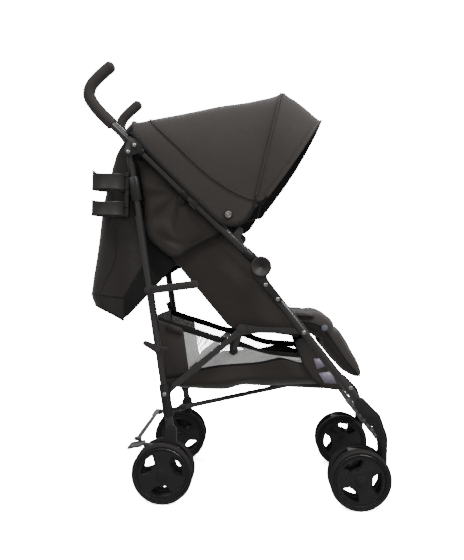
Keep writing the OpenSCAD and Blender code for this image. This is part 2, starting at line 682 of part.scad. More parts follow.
placed() {
    push_tube(-1);  // push_tube_right
    push_tube(1);  // push_tube_left
    grip(-1);  // grip_right
    grip(1);  // grip_left
    upper_bracket(-1);  // upper_bracket_right
    upper_bracket(1);  // upper_bracket_left
    hub_body(-1);  // hub_right
    hub_body(1);  // hub_left
    hub_socket(-1);  // hub_socket_right
    hub_socket(1);  // hub_socket_left
    front_leg(-1);  // front_leg_right
    front_leg(1);  // front_leg_left
    front_bracket(-1);  // front_bracket_right
    front_bracket(1);  // front_bracket_left
    caster_fork(-1);  // caster_fork_right
    caster_fork(1);  // caster_fork_left
    caster_lock(-1);  // caster_lock_right
    caster_lock(1);  // caster_lock_left
    union() { rear_leg(-1); leg_studs(); }  // rear_leg_right
    rear_leg(1);  // rear_leg_left
    union() { rear_foot(-1); pedal_axle(-1); }  // rear_foot_right
    union() { rear_foot(1); pedal_axle(1); }  // rear_foot_left
    seat_rail(-1);  // seat_rail_right
    seat_rail(1);  // seat_rail_left
    diagonal_link(-1);  // diagonal_link_right
    diagonal_link(1);  // diagonal_link_left
    cross_link(-1);  // cross_link_right
    cross_link(1);  // cross_link_left
    wheel(wheelbase, -leg_y - pair_off, -1, 121);  // wheel_fr_outer
    wheel(wheelbase, -leg_y + pair_off, 1, 80);  // wheel_fr_inner
    wheel(wheelbase, leg_y + pair_off, 1, 40);  // wheel_fl_outer
    wheel(wheelbase, leg_y - pair_off, -1, 100);  // wheel_fl_inner
    wheel(0, -leg_y - pair_off, -1, 149);  // wheel_rr_outer
    wheel(0, -leg_y + pair_off, 1, 60);  // wheel_rr_inner
    wheel(0, leg_y + pair_off, 1, 20);  // wheel_rl_outer
    wheel(0, leg_y - pair_off, -1, 95);  // wheel_rl_inner
    brake_pedal(-1);  // brake_pedal_right
    brake_pedal(1);  // brake_pedal_left
    brake_link();
    carry_handle();
    fold_latch();
    cup_holder();
    hood_rear();
    hood_visor();
    hood_bow();
    hood_button(-1);  // hood_button_right
    hood_button(1);  // hood_button_left
    side_wing(-1);  // side_wing_right
    side_wing(1);  // side_wing_left
    rear_cover();
    backrest();
    seat_pad();
    leg_rest();
    leg_rest_button();
    harness();
    buckle();
    buckle_button();
    basket();
    footrest();
}
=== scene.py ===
import bpy
import bmesh
import json
import math
from mathutils import Matrix, Vector, noise
from mathutils.bvhtree import BVHTree


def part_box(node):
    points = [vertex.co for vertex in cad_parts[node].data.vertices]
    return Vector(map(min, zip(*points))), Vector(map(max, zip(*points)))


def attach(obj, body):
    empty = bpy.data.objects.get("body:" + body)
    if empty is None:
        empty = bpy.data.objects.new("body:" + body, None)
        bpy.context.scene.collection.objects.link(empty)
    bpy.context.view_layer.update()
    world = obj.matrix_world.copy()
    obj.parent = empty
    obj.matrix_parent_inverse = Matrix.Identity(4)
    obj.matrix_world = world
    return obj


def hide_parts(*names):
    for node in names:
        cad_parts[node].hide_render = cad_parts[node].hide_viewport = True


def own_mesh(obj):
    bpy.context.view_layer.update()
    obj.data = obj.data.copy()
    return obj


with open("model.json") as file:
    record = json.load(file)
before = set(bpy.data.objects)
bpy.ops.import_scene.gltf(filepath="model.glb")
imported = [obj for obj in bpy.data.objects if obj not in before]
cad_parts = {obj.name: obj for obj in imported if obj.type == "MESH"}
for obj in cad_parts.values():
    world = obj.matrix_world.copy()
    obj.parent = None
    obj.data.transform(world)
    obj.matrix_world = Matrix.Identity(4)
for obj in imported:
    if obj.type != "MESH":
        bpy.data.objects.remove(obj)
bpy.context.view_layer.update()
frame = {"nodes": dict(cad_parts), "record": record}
nodes = frame["nodes"]
scene = bpy.context.scene
print("frame loaded:", len(nodes), "nodes")

rearAxle = sum(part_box("wheel_rr_outer")[k][0] for k in (0, 1)) / 2  # x of the rear axle


def at(x, y, z):  # millimetres from the rear axle, the middle plane and the floor
    return Vector((rearAxle + x / 1000, y / 1000, z / 1000))


sideways, upwards = Vector((0, 1, 0)), Vector((0, 0, 1))


class ShaderValue:
    # wraps one socket so that shader maths reads as plain expressions
    def __init__(self, shader, socket):
        self.shader, self.socket = shader, socket

    def op(self, kind, a, b=None):
        values = {0: a, 1: b} if b is not None else {0: a}
        return self.shader.add("ShaderNodeMath", {"operation": kind}, values)

    def __add__(self, other): return self.op("ADD", self, other)
    def __radd__(self, other): return self.op("ADD", other, self)
    def __sub__(self, other): return self.op("SUBTRACT", self, other)
    def __rsub__(self, other): return self.op("SUBTRACT", other, self)
    def __mul__(self, other): return self.op("MULTIPLY", self, other)
    def __rmul__(self, other): return self.op("MULTIPLY", other, self)
    def __truediv__(self, other): return self.op("DIVIDE", self, other)
    def __pow__(self, other): return self.op("POWER", self, other)
    def __gt__(self, other): return self.op("GREATER_THAN", self, other)
    def __lt__(self, other): return self.op("LESS_THAN", self, other)
    def sin(self): return self.op("SINE", self)
    def abs(self): return self.op("ABSOLUTE", self)
    def low(self, other): return self.op("MINIMUM", self, other)
    def high(self, other): return self.op("MAXIMUM", self, other)


class Finish:
    # one material: add() makes any node, out() picks a socket by name
    def __init__(self, name, color, rough, **fixed):
        self.mat = bpy.data.materials.new(name)
        self.mat.use_nodes = True
        self.tree = self.mat.node_tree
        self.bsdf = self.tree.nodes["Principled BSDF"]
        self.set("Base Color", (*color, 1))
        self.set("Roughness", rough)
        for key, value in fixed.items():
            self.set(key.replace("_", " "), value)
        self.coords = self.tree.nodes.new("ShaderNodeTexCoord")

    def set(self, name, value):
        socket = self.bsdf.inputs[name]
        if isinstance(value, ShaderValue):
            self.tree.links.new(value.socket, socket)
        else:
            socket.default_value = value

    def add(self, kind, settings=None, values=None, out=0):
        node = self.tree.nodes.new(kind)
        for key, value in (settings or {}).items():
            if key == "stops":
                ramp = node.color_ramp.elements
                while len(ramp) < len(value):
                    ramp.new(0.5)
                for stop, (place, shade) in zip(ramp, value):
                    stop.position, stop.color = place, (*shade, 1)
            else:
                setattr(node, key, value)
        for key, value in (values or {}).items():
            if isinstance(value, ShaderValue):
                self.tree.links.new(value.socket, node.inputs[key])
            elif value is not None:
                node.inputs[key].default_value = value
        return ShaderValue(self, node.outputs[out])

    def place(self, where="Object"):
        return ShaderValue(self, self.coords.outputs[where])

    def scaled(self, vector, factor):
        return self.add("ShaderNodeVectorMath", {"operation": "SCALE"}, {0: vector, "Scale": factor})

    def split(self, vector):
        node = self.tree.nodes.new("ShaderNodeSeparateXYZ")
        self.tree.links.new(vector.socket, node.inputs[0])
        return [ShaderValue(self, o) for o in node.outputs]

    def noise(self, vector, scale, detail=3, rough=0.55):
        return self.add("ShaderNodeTexNoise", {"noise_dimensions": "3D"},
                        {"Vector": vector, "Scale": scale, "Detail": detail, "Roughness": rough})

    def mix(self, factor, a, b):
        return self.add("ShaderNodeMix", {"data_type": "RGBA"},
                        {0: factor, 6: a if isinstance(a, ShaderValue) else (*a, 1), 7: b if isinstance(b, ShaderValue) else (*b, 1)}, 2)

    def bump(self, height, strength, distance=0.001):
        self.set("Normal", self.add("ShaderNodeBump", {}, {"Height": height, "Strength": strength, "Distance": distance}))


def mouldedPlastic(name, color, rough=0.42, grain=1500, depth=0.35, light=1.35):
    m = Finish(name, color, rough, Specular_IOR_Level=0.5)
    where = m.place()
    fine, broad = m.noise(where, grain, 2), m.noise(where, 18, 4)
    m.set("Base Color", m.mix(broad, color, [c * light for c in color]))
    m.set("Roughness", rough - 0.06 + broad * 0.14)
    m.bump(fine, depth, 0.0002)
    return m.mat


def tubeMetal(name, color, rough=0.24):
    m = Finish(name, color, rough, Specular_IOR_Level=0.9, Coat_Weight=0.6, Coat_Roughness=0.1)
    where = m.place()
    specks, broad = m.noise(where, 2600, 2), m.noise(where, 9, 4)
    m.set("Base Color", m.mix(broad, color, [c * 1.5 for c in color]))
    m.set("Roughness", rough - 0.05 + broad * 0.12)
    m.bump(specks, 0.12, 0.0001)
    return m.mat


def brightMetal(name, color=(0.62, 0.60, 0.57)):
    m = Finish(name, color, 0.22, Metallic=1.0)
    where = m.place()
    scratches = m.noise(where, 900, 4)
    m.set("Roughness", 0.15 + scratches * 0.2)
    m.bump(scratches, 0.08, 0.0001)
    return m.mat


def foamRubber(name):
    m = Finish(name, (0.045, 0.039, 0.0365), 0.85, Sheen_Weight=0.25, Sheen_Roughness=0.5)
    where = m.place()
    cells, broad = m.noise(where, 1400, 4, 0.7), m.noise(where, 22, 3)
    m.set("Base Color", m.mix(broad, (0.030, 0.025, 0.023), (0.046, 0.039, 0.036)))
    m.bump(cells, 0.5, 0.0004)
    return m.mat


def wovenCloth(name, color, rough=0.72, threads=1100, sheen=0.35, wrinkle=0.35, light=1.22):
    # plain weave from two crossed sines on the piece's own UV, laid out in metres
    m = Finish(name, color, rough, Sheen_Weight=sheen, Sheen_Roughness=0.45, Specular_IOR_Level=0.35)
    u, v, _ = m.split(m.place("UV"))
    warp, weft = (u * (threads * math.pi)).sin(), (v * (threads * math.pi)).sin()
    weave = (warp * weft) * 0.5 + 0.5
    where = m.place()
    broad, folds = m.noise(where, 7, 4), m.noise(where, 26, 3, 0.6)
    tone = broad * 0.7 + weave * 0.3
    m.set("Base Color", m.mix(tone, [c * 0.86 for c in color], [c * light for c in color]))
    m.set("Roughness", rough - 0.08 + folds * 0.16)
    m.bump(weave * 0.05 + folds * wrinkle, 0.5, 0.004)
    return m.mat


def meshCloth(name, color, holes=0.0015, cover=0.62):
    # open knit: round holes on the piece's own UV, cut by alpha
    m = Finish(name, color, 0.7, Sheen_Weight=0.3)
    u, v, _ = m.split(m.place("UV"))
    k = math.pi / holes
    knit = (u * k).sin() * (v * k).sin()
    fuzz = m.noise(m.place(), 60, 3)
    m.set("Base Color", m.mix(fuzz, [c * 0.8 for c in color], [min(1, c * 1.15) for c in color]))
    m.set("Alpha", (knit.abs() < cover))
    m.bump(knit, 0.3, 0.0005)
    m.mat.surface_render_method = "DITHERED"
    return m.mat


def webbing(name, color):
    m = Finish(name, color, 0.6, Sheen_Weight=0.3)
    u, v, _ = m.split(m.place("UV"))
    ribs = (u * (math.pi / 0.0011)).sin() * (v * (math.pi / 0.0016)).sin()
    m.set("Base Color", m.mix(ribs * 0.5 + 0.5, [c * 0.75 for c in color], [c * 1.3 for c in color]))
    m.bump(ribs, 0.5, 0.0006)
    return m.mat


def tyreFoam(name):
    m = Finish(name, (0.020, 0.018, 0.018), 0.66, Specular_IOR_Level=0.45)
    where = m.place()
    fine, dust = m.noise(where, 700, 3), m.noise(where, 30, 4)
    m.set("Base Color", m.mix(dust, (0.014, 0.0125, 0.0125), (0.026, 0.0235, 0.023)))
    m.set("Roughness", 0.56 + dust * 0.2)
    m.bump(fine, 0.4, 0.0003)
    return m.mat


def clearVinyl(name):
    m = Finish(name, (0.27, 0.24, 0.32), 0.25, Specular_IOR_Level=0.6)
    haze = m.noise(m.place(), 40, 4)
    m.set("Base Color", m.mix(haze, (0.25, 0.22, 0.30), (0.38, 0.35, 0.43)))
    m.bump(haze, 0.15, 0.001)
    return m.mat


tubePaint = tubeMetal("tube paint", (0.020, 0.018, 0.017))
plasticBlack = mouldedPlastic("moulded black", (0.016, 0.015, 0.0145), 0.4)
plasticSoft = mouldedPlastic("moulded charcoal", (0.030, 0.027, 0.026), 0.5)
rimPlastic = mouldedPlastic("rim plastic", (0.0185, 0.0172, 0.0172), 0.26)
greyPlastic = mouldedPlastic("moulded grey", (0.16, 0.157, 0.153), 0.34, light=1.25)
darkGrey = mouldedPlastic("moulded dark grey", (0.062, 0.059, 0.057), 0.36, light=1.3)
buttonBlue = mouldedPlastic("button blue grey", (0.13, 0.14, 0.19), 0.35, light=1.2)
redPlastic = mouldedPlastic("button red", (0.30, 0.025, 0.02), 0.35, light=1.2)
rivetSteel = brightMetal("rivet steel")
buttonSteel = brightMetal("button steel", (0.52, 0.49, 0.46))
gripFoam = foamRubber("grip foam")
canopyCloth = wovenCloth("canopy cloth", (0.0405, 0.0340, 0.0310))
seatCloth = wovenCloth("seat cloth", (0.0395, 0.0332, 0.0298), threads=900, wrinkle=0.5)
# the canopy cloth again, made darker as painted shade for the rear cover, which hangs in shadow
shadedCanopyCloth = wovenCloth("canopy cloth painted darker", (0.0345, 0.0292, 0.0268), wrinkle=0.6)
# near-black cloth: real binding on edges and hems, and painted shade on the sheets that close the rear cover's top gap,
# sides and underside
bindingTapeAndPaintedShade = wovenCloth("binding tape and painted shade", (0.009, 0.008, 0.008), threads=1400, wrinkle=0.1)
threadDark = wovenCloth("stitch thread", (0.012, 0.011, 0.011), threads=3000, wrinkle=0.05)
basketMesh = meshCloth("basket mesh", (0.98, 0.97, 0.94), holes=0.0012, cover=0.5)
webStrap = webbing("strap webbing", (0.020, 0.018, 0.017))
tyreMat = tyreFoam("tyre foam")
windowVinyl = clearVinyl("window vinyl")
print("finishes made")


def newPiece(name, verts, faces, material, uvs=None, smooth=True):
    mesh = bpy.data.meshes.new(name)
    mesh.from_pydata([tuple(v) for v in verts], [], faces)
    mesh.update()
    if uvs:
        layer = mesh.uv_layers.new(name="UVMap")
        for loop in mesh.loops:
            layer.data[loop.index].uv = uvs[loop.vertex_index]
    obj = bpy.data.objects.new(name, mesh)
    scene.collection.objects.link(obj)
    mesh.materials.append(material)
    if smooth:
        mesh.polygons.foreach_set("use_smooth", [True] * len(mesh.polygons))
    return obj


def applied(obj):  # modifiers become plain mesh
    graph = bpy.context.evaluated_depsgraph_get()
    mesh = bpy.data.meshes.new_from_object(obj.evaluated_get(graph), preserve_all_data_layers=True, depsgraph=graph)
    obj.modifiers.clear()
    obj.data = mesh
    return obj


def joined(name, objs, material=None):
    bm = bmesh.new()
    mats = []
    for obj in objs:
        start = len(bm.faces)
        shift = []
        for m in obj.data.materials:
            if m not in mats:
                mats.append(m)
            shift.append(mats.index(m))
        bm.from_mesh(obj.data)
        bm.faces.ensure_lookup_table()
        for face in bm.faces[start:]:
            face.material_index = shift[face.material_index] if shift else 0
        bpy.data.objects.remove(obj)
    mesh = bpy.data.meshes.new(name)
    bm.to_mesh(mesh)
    bm.free()
    out = bpy.data.objects.new(name, mesh)
    scene.collection.objects.link(out)
    for m in mats:
        mesh.materials.append(m)
    return out


def gridSheet(name, rows, material, thick=0.0015, smoothing=1, offset=0):
    # a cloth sheet through a grid of points, with UVs in metres along and across it
    n, m = len(rows), len(rows[0])
    us, vs = [0], [0]
    mid = m // 2
    for i in range(1, n):
        us.append(us[-1] + (rows[i][mid] - rows[i - 1][mid]).length)
    for j in range(1, m):
        vs.append(vs[-1] + (rows[n // 2][j] - rows[n // 2][j - 1]).length)
    verts = [p for row in rows for p in row]
    uvs = [(us[i], vs[j]) for i in range(n) for j in range(m)]
    faces = [(i * m + j, i * m + j + 1, (i + 1) * m + j + 1, (i + 1) * m + j) for i in range(n - 1) for j in range(m - 1)]
    obj = newPiece(name, verts, faces, material, uvs)
    if smoothing:
        mod = obj.modifiers.new("smooth", "SUBSURF")
        mod.levels = mod.render_levels = smoothing
    if thick:
        mod = obj.modifiers.new("thick", "SOLIDIFY")
        mod.thickness, mod.offset = thick, offset
    return applied(obj)


def sweep(name, path, section, material, up=None, ups=None, caps=True, scales=None):
    # a closed section carried along a path, kept level with 'up' or turned as little as can be
    verts, faces, uvs = [], [], []
    n = len(section)
    length = 0
    side = Vector((0.31, 0.87, 0.38))
    for i, p in enumerate(path):
        t = (path[min(i + 1, len(path) - 1)] - path[max(i - 1, 0)]).normalized()
        want = ups[i] if ups else (up or side)
        flat = want - t * want.dot(t)
        if flat.length > 1e-4:
            side = flat.normalized()
        top = t.cross(side)
        if i:
            length += (p - path[i - 1]).length
        k = scales[i] if scales else 1
        for j, (x, y) in enumerate(section):
            verts.append(p + (side * x + top * y) * k)
            uvs.append((length, j * 0.004))
    for i in range(len(path) - 1):
        for j in range(n):
            a, b = i * n + j, i * n + (j + 1) % n
            faces.append((a, b, b + n, a + n))
    if caps:
        faces.append(tuple(range(n))[::-1])
        faces.append(tuple((len(path) - 1) * n + j for j in range(n)))
    obj = newPiece(name, verts, faces, material, uvs)
    fixNormals(obj)
    return obj


def fixNormals(obj, merge=1e-6):
    bm = bmesh.new()
    bm.from_mesh(obj.data)
    bmesh.ops.remove_doubles(bm, verts=bm.verts, dist=merge)
    bmesh.ops.recalc_face_normals(bm, faces=bm.faces)
    bm.to_mesh(obj.data)
    bm.free()


def circle(r, n=16, squash=1.0):
    return [(r * math.cos(2 * math.pi * k / n), r * squash * math.sin(2 * math.pi * k / n)) for k in range(n)]


def boxSection(w, h, r=0.0008):
    pts = []
    for cx, cy, a0 in ((w / 2 - r, h / 2 - r, 0), (-w / 2 + r, h / 2 - r, 90), (-w / 2 + r, -h / 2 + r, 180), (w / 2 - r, -h / 2 + r, 270)):
        for k in range(3):
            a = math.radians(a0 + 45 * k)
            pts.append((cx + r * math.cos(a), cy + r * math.sin(a)))
    return pts


def throughFour(p, f):  # Catmull-Rom between the middle two of four points
    return 0.5 * (2 * p[1] + (p[2] - p[0]) * f + (2 * p[0] - 5 * p[1] + 4 * p[2] - p[3]) * f * f
                  + (3 * p[1] - p[0] - 3 * p[2] + p[3]) * f ** 3)


def curved(points, count):  # a smooth line through the points, evenly in parameter
    out = []
    n = len(points) - 1
    for k in range(count):
        t = k * n / (count - 1)
        i = min(int(t), n - 1)
        f = t - i
        out.append(throughFour([Vector(points[min(max(i + j, 0), n)]) for j in (-1, 0, 1, 2)], f))
    return out


def lathe(name, profile, centre, material, steps=64, axis="Y"):
    # profile: (radius, along) pairs turned round an axis through centre
    verts, faces, uvs = [], [], []
    n = len(profile)
    for k in range(steps):
        a = 2 * math.pi * k / steps
        for j, (r, h) in enumerate(profile):
            if axis == "Y":
                verts.append(centre + Vector((r * math.cos(a), h, r * math.sin(a))))
            else:
                verts.append(centre + Vector((r * math.cos(a), r * math.sin(a), h)))
            uvs.append((a * 0.07, j * 0.004))
    for k in range(steps):
        q = (k + 1) % steps
        for j in range(n):
            faces.append((k * n + j, q * n + j, q * n + (j + 1) % n, k * n + (j + 1) % n))
    obj = newPiece(name, verts, faces, material, uvs)
    fixNormals(obj)
    return obj


def bodyOf(node):
    return next(b for b, ns in frame["record"]["behaviour"]["bodies"].items() if node in ns)


def hand(obj, body, slot, *replaced):
    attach(obj, body)
    if replaced:
        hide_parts(*replaced)


def rounded(node, material, width=0.0012, angle=38, slotName="plastic_black"):
    # a copy of a CAD node with its sharp edges broken
    src = nodes[node]
    mesh = src.data.copy()
    mesh.materials.clear()
    mesh.materials.append(material)
    obj = bpy.data.objects.new(node + "_finished", mesh)
    scene.collection.objects.link(obj)
    bm = bmesh.new()
    bm.from_mesh(mesh)
    bmesh.ops.remove_doubles(bm, verts=bm.verts, dist=2e-6)
    bmesh.ops.dissolve_limit(bm, angle_limit=math.radians(0.8), verts=bm.verts, edges=bm.edges)
    for face in bm.faces:
        face.smooth = True
    bm.to_mesh(mesh)
    bm.free()
    mod = obj.modifiers.new("edges", "BEVEL")
    mod.width, mod.segments, mod.limit_method, mod.angle_limit = width, 2, "ANGLE", math.radians(angle)
    mod.use_clamp_overlap = True
    mod.harden_normals = False
    applied(obj)
    bm = bmesh.new()
    bm.from_mesh(obj.data)
    bmesh.ops.triangulate(bm, faces=[f for f in bm.faces if len(f.verts) > 4])
    for edge in bm.edges:
        edge.smooth = not (edge.is_manifold and edge.calc_face_angle(0) > math.radians(50))
    bm.to_mesh(obj.data)
    bm.free()
    hand(obj, bodyOf(node), slotName, node)
    return obj


def evenly(points, count):  # the same line with its points evenly spaced
    total = [0]
    for a, b in zip(points, points[1:]):
        total.append(total[-1] + (b - a).length)
    out, i = [], 0
    for k in range(count):
        want = total[-1] * k / (count - 1)
        while i < len(points) - 2 and total[i + 1] < want:
            i += 1
        span = total[i + 1] - total[i]
        f = (want - total[i]) / span if span > 1e-9 else 0
        out.append(points[i].lerp(points[i + 1], min(max(f, 0), 1)))
    return out


def near(x, z, y=-200):  # a point seen at (x, z) in the right frame's plane, moved to another plane
    k = (1932 + y) / 1732
    return at(220 + (x - 220) * k, y, 565 + (z - 565) * k)


def pillow(name, surface, size, counts, front, back, material, channels=(), puff=0.002, seed=1.0, rim=0.0035, power=7, taper=None):
    # a stuffed panel: two crowned faces meeting at a rim, with sewn channels pressed in
    nu, nv = counts
    verts, uvs = [], []
    for face in (1, -1):
        for i in range(nu + 1):
            for j in range(nv + 1):
                u, v = i / nu, j / nv
                p, n = surface(u, v)
                edge = (1 - abs(2 * u - 1) ** power) ** 0.5 * (1 - abs(2 * v - 1) ** power) ** 0.5
                press = 1
                for way, place, width, depth in channels:
                    d = ((u if way == "u" else v) - place) / width
                    press *= 1 - depth * math.exp(-d * d)
                w = noise.noise(p * 26 + Vector((seed, 0, 0))) + 0.5 * noise.noise(p * 60 + Vector((0, seed, 0)))
                thick = (front if face > 0 else back) * edge * press * (taper(u) if taper else 1) + rim / 2 + puff * w * edge
                verts.append(p + n * thick * face)
                uvs.append((u * size[0], v * size[1] + (0 if face > 0 else 1)))
    faces = []
    m, o = nv + 1, (nu + 1) * (nv + 1)
    for i in range(nu):
        for j in range(nv):
            a = i * m + j
            faces.append((a, a + 1, a + m + 1, a + m))
            faces.append((a + o, a + m + o, a + m + 1 + o, a + 1 + o))
    rimLoop = list(range(nv)) + [i * m + nv for i in range(nu)]
    rimLoop += [nu * m + nv - j for j in range(nv)] + [(nu - i) * m for i in range(nu)]
    for a, b in zip(rimLoop, rimLoop[1:] + rimLoop[:1]):
        faces.append((b, a, a + o, b + o))
    obj = newPiece(name, verts, faces, material, uvs)
    fixNormals(obj, 1e-7)
    return obj


def edgeOf(surface, u0, v0, u1, v1, count=40, lift=0.0):
    out = []
    for k in range(count):
        f = k / (count - 1)
        p, n = surface(u0 + (u1 - u0) * f, v0 + (v1 - v0) * f)
        out.append(p + n * lift)
    return out


def piping(name, path, material, radius=0.0022):
    return sweep(name, path, circle(radius, 8), material)


def pathLength(line):
    return sum((b - a).length for a, b in zip(line, line[1:]))


def declareSheet(rows):
    # how wide and long the cloth is along its rows and columns, and its area; nothing is done with these numbers
    wide = max(pathLength(row) for row in rows)
    tall = max(pathLength([row[j] for row in rows]) for j in range(len(rows[0])))
    area = 0
    for low, high in zip(rows, rows[1:]):
        for j in range(len(low) - 1):
            area += ((high[j + 1] - low[j]).cross(low[j + 1] - high[j])).length / 2


def repeatTree():  # one small shape copied onto many points
    tree = bpy.data.node_groups.new("repeatOnPoints", "GeometryNodeTree")
    face = tree.interface
    face.new_socket("Geometry", in_out="INPUT", socket_type="NodeSocketGeometry")
    for label, kind in (("Shape", "NodeSocketObject"), ("Finish", "NodeSocketMaterial"), ("Size", "NodeSocketFloat"),
                        ("Size Jitter", "NodeSocketFloat"), ("Seed", "NodeSocketInt")):
        face.new_socket(label, in_out="INPUT", socket_type=kind)
    face.new_socket("Geometry", in_out="OUTPUT", socket_type="NodeSocketGeometry")
    add, link = tree.nodes.new, tree.links.new
    source, sink = add("NodeGroupInput"), add("NodeGroupOutput")
    shape, place, turn = add("GeometryNodeObjectInfo"), add("GeometryNodeInstanceOnPoints"), add("GeometryNodeInputNamedAttribute")
    turn.data_type = "FLOAT_VECTOR"
    turn.inputs["Name"].default_value = "turn"
    jitter, low, high = add("FunctionNodeRandomValue"), add("ShaderNodeMath"), add("ShaderNodeMath")
    low.operation, high.operation = "SUBTRACT", "ADD"
    real, paint = add("GeometryNodeRealizeInstances"), add("GeometryNodeSetMaterial")
    link(source.outputs["Shape"], shape.inputs["Object"])
    link(source.outputs["Geometry"], place.inputs["Points"])
    link(shape.outputs["Geometry"], place.inputs["Instance"])
    link(turn.outputs["Attribute"], place.inputs["Rotation"])
    for node in (low, high):
        link(source.outputs["Size"], node.inputs[0])
        link(source.outputs["Size Jitter"], node.inputs[1])
    link(low.outputs[0], jitter.inputs[2])
    link(high.outputs[0], jitter.inputs[3])
    link(source.outputs["Seed"], jitter.inputs["Seed"])
    link(jitter.outputs[1], place.inputs["Scale"])
    link(place.outputs["Instances"], real.inputs["Geometry"])
    link(real.outputs["Geometry"], paint.inputs["Geometry"])
    link(source.outputs["Finish"], paint.inputs["Material"])
    link(paint.outputs["Geometry"], sink.inputs["Geometry"])
    return tree


repeats = repeatTree()


def repeat(name, places, shape, material, size=1.0, jitter=0.0, seed=3):
    # places: (point, direction of the shape's z, direction of its x)
    mesh = bpy.data.meshes.new(name)
    mesh.from_pydata([tuple(p) for p, _, _ in places], [], [])
    turns = mesh.attributes.new("turn", "FLOAT_VECTOR", "POINT")
    for k, (_, z, x) in enumerate(places):
        z = z.normalized()
        x = (x - z * x.dot(z)).normalized()
        y = z.cross(x)
        turns.data[k].vector = Matrix((x, y, z)).transposed().to_euler()
    obj = bpy.data.objects.new(name, mesh)
    scene.collection.objects.link(obj)
    mod = obj.modifiers.new("repeat", "NODES")
    mod.node_group = repeats
    ids = {item.name: item.identifier for item in repeats.interface.items_tree if item.in_out == "INPUT"}
    for label, value in (("Shape", shape), ("Finish", material), ("Size", size), ("Size Jitter", jitter), ("Seed", seed)):
        mod[ids[label]] = value
    applied(obj)
    if not obj.data.materials:
        obj.data.materials.append(material)
    return obj


def shapeFor(name, verts, faces):  # a small hidden shape for the repeats
    mesh = bpy.data.meshes.new(name)
    mesh.from_pydata(verts, [], faces)
    mesh.polygons.foreach_set("use_smooth", [True] * len(mesh.polygons))
    obj = bpy.data.objects.new(name, mesh)
    scene.collection.objects.link(obj)
    fixNormals(obj)
    obj.hide_render = obj.hide_viewport = True
    return obj


def domeShape(name, profile, steps=20):
    verts, faces = [], []
    n = len(profile)
    for k in range(steps):
        a = 2 * math.pi * k / steps
        verts += [(r * math.cos(a), r * math.sin(a), h) for r, h in profile]
    for k in range(steps):
        q = (k + 1) % steps
        faces += [(k * n + j, q * n + j, q * n + j + 1, k * n + j + 1) for j in range(n - 1)]
    return shapeFor(name, verts, faces)


small = {"rivet": [(0, -0.001), (0.0052, -0.001), (0.0052, 0.0002), (0.0048, 0.0009), (0.0036, 0.0016), (0.002, 0.002), (0, 0.0021)],
         "stitch": [(0, -0.0014), (0.00032, -0.0011), (0.00042, 0), (0.00032, 0.0011), (0, 0.0014)]}  # radius and height, metres
rivetShape = domeShape("rivetShape", small["rivet"])
stitchShape = domeShape("stitchShape", small["stitch"], 6)


def stitches(name, path, normals, pitch=0.0042, lift=0.0004):
    pts = evenly(path, max(3, int(pathLength(path) / pitch)))
    nearest = [min(range(len(path)), key=lambda k: (path[k] - p).length_squared) for p in pts]
    places = []
    for i, p in enumerate(pts):
        t = (pts[min(i + 1, len(pts) - 1)] - pts[max(i - 1, 0)]).normalized()
        n = normals[nearest[i]]
        places.append((p + n * lift, t, n))
    return repeat(name, places, stitchShape, threadDark, 1.0, 0.12)


print("helpers ready")

# rigid pieces are copies of the CAD nodes with broken edges
metalNodes = ["push_tube", "front_leg", "rear_leg", "seat_rail", "diagonal_link", "cross_link"]
plasticNodes = ["upper_bracket", "front_bracket", "caster_fork", "rear_foot"]
for node in metalNodes:
    for sideTag in ("_right", "_left"):
        rounded(node + sideTag, tubePaint, 0.001, slotName="frame_tube")
for node in plasticNodes:
    for sideTag in ("_right", "_left"):
        rounded(node + sideTag, plasticBlack, 0.0014)
for node, material, width, slotName in (
        ("caster_lock_right", greyPlastic, 0.0012, "plastic_grey"), ("caster_lock_left", greyPlastic, 0.0012, "plastic_grey"),
        ("brake_pedal_right", darkGrey, 0.0012, "plastic_grey"), ("brake_pedal_left", darkGrey, 0.0012, "plastic_grey"),
        ("brake_link", darkGrey, 0.001, "plastic_grey"), ("footrest", greyPlastic, 0.001, "plastic_grey"),
        ("carry_handle", plasticSoft, 0.003, "plastic_black"), ("fold_latch", plasticSoft, 0.0014, "plastic_black"),
        ("leg_rest_button", buttonBlue, 0.0014, "plastic_grey"), ("buckle", plasticBlack, 0.002, "plastic_black"),
        ("buckle_button", redPlastic, 0.001, "red_plastic"),
        ("hood_bow", tubePaint, 0.0006, "frame_tube")):
    made = rounded(node, material, width, slotName=slotName)
    if node == "hood_bow":
        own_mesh(made)

# grips: foam sleeves on the bent tube ends
grip = {"plane": 200.0, "radius": 14.7,  # millimetres
        "line": [(-141.5, 911.6), (-154, 923), (-169, 937), (-185, 954.5), (-198, 973),
                 (-201.5, 988), (-195.5, 1007), (-180.5, 1025), (-166, 1038.5), (-152, 1051)]}


def buildGrip(side, node):
    line = curved([at(x, side * grip["plane"], z) for x, z in grip["line"]], 90)
    r = grip["radius"] / 1000
    ahead = (line[-1] - line[-2]).normalized()
    scales = [0.84, 0.96] + [1.0] * (len(line) - 2)
    tip = line[-1]
    for k in range(1, 10):  # the tip is rounded off
        a = math.radians(9.6 * k)
        line.append(tip + ahead * r * 0.8 * math.sin(a))
        scales.append(math.cos(a))
    obj = sweep(node + "_finished", line, circle(r, 40), gripFoam, up=sideways, scales=scales)
    hand(obj, bodyOf(node), "foam", node)


buildGrip(-1, "grip_right")
buildGrip(1, "grip_left")
print("rigid pieces done")

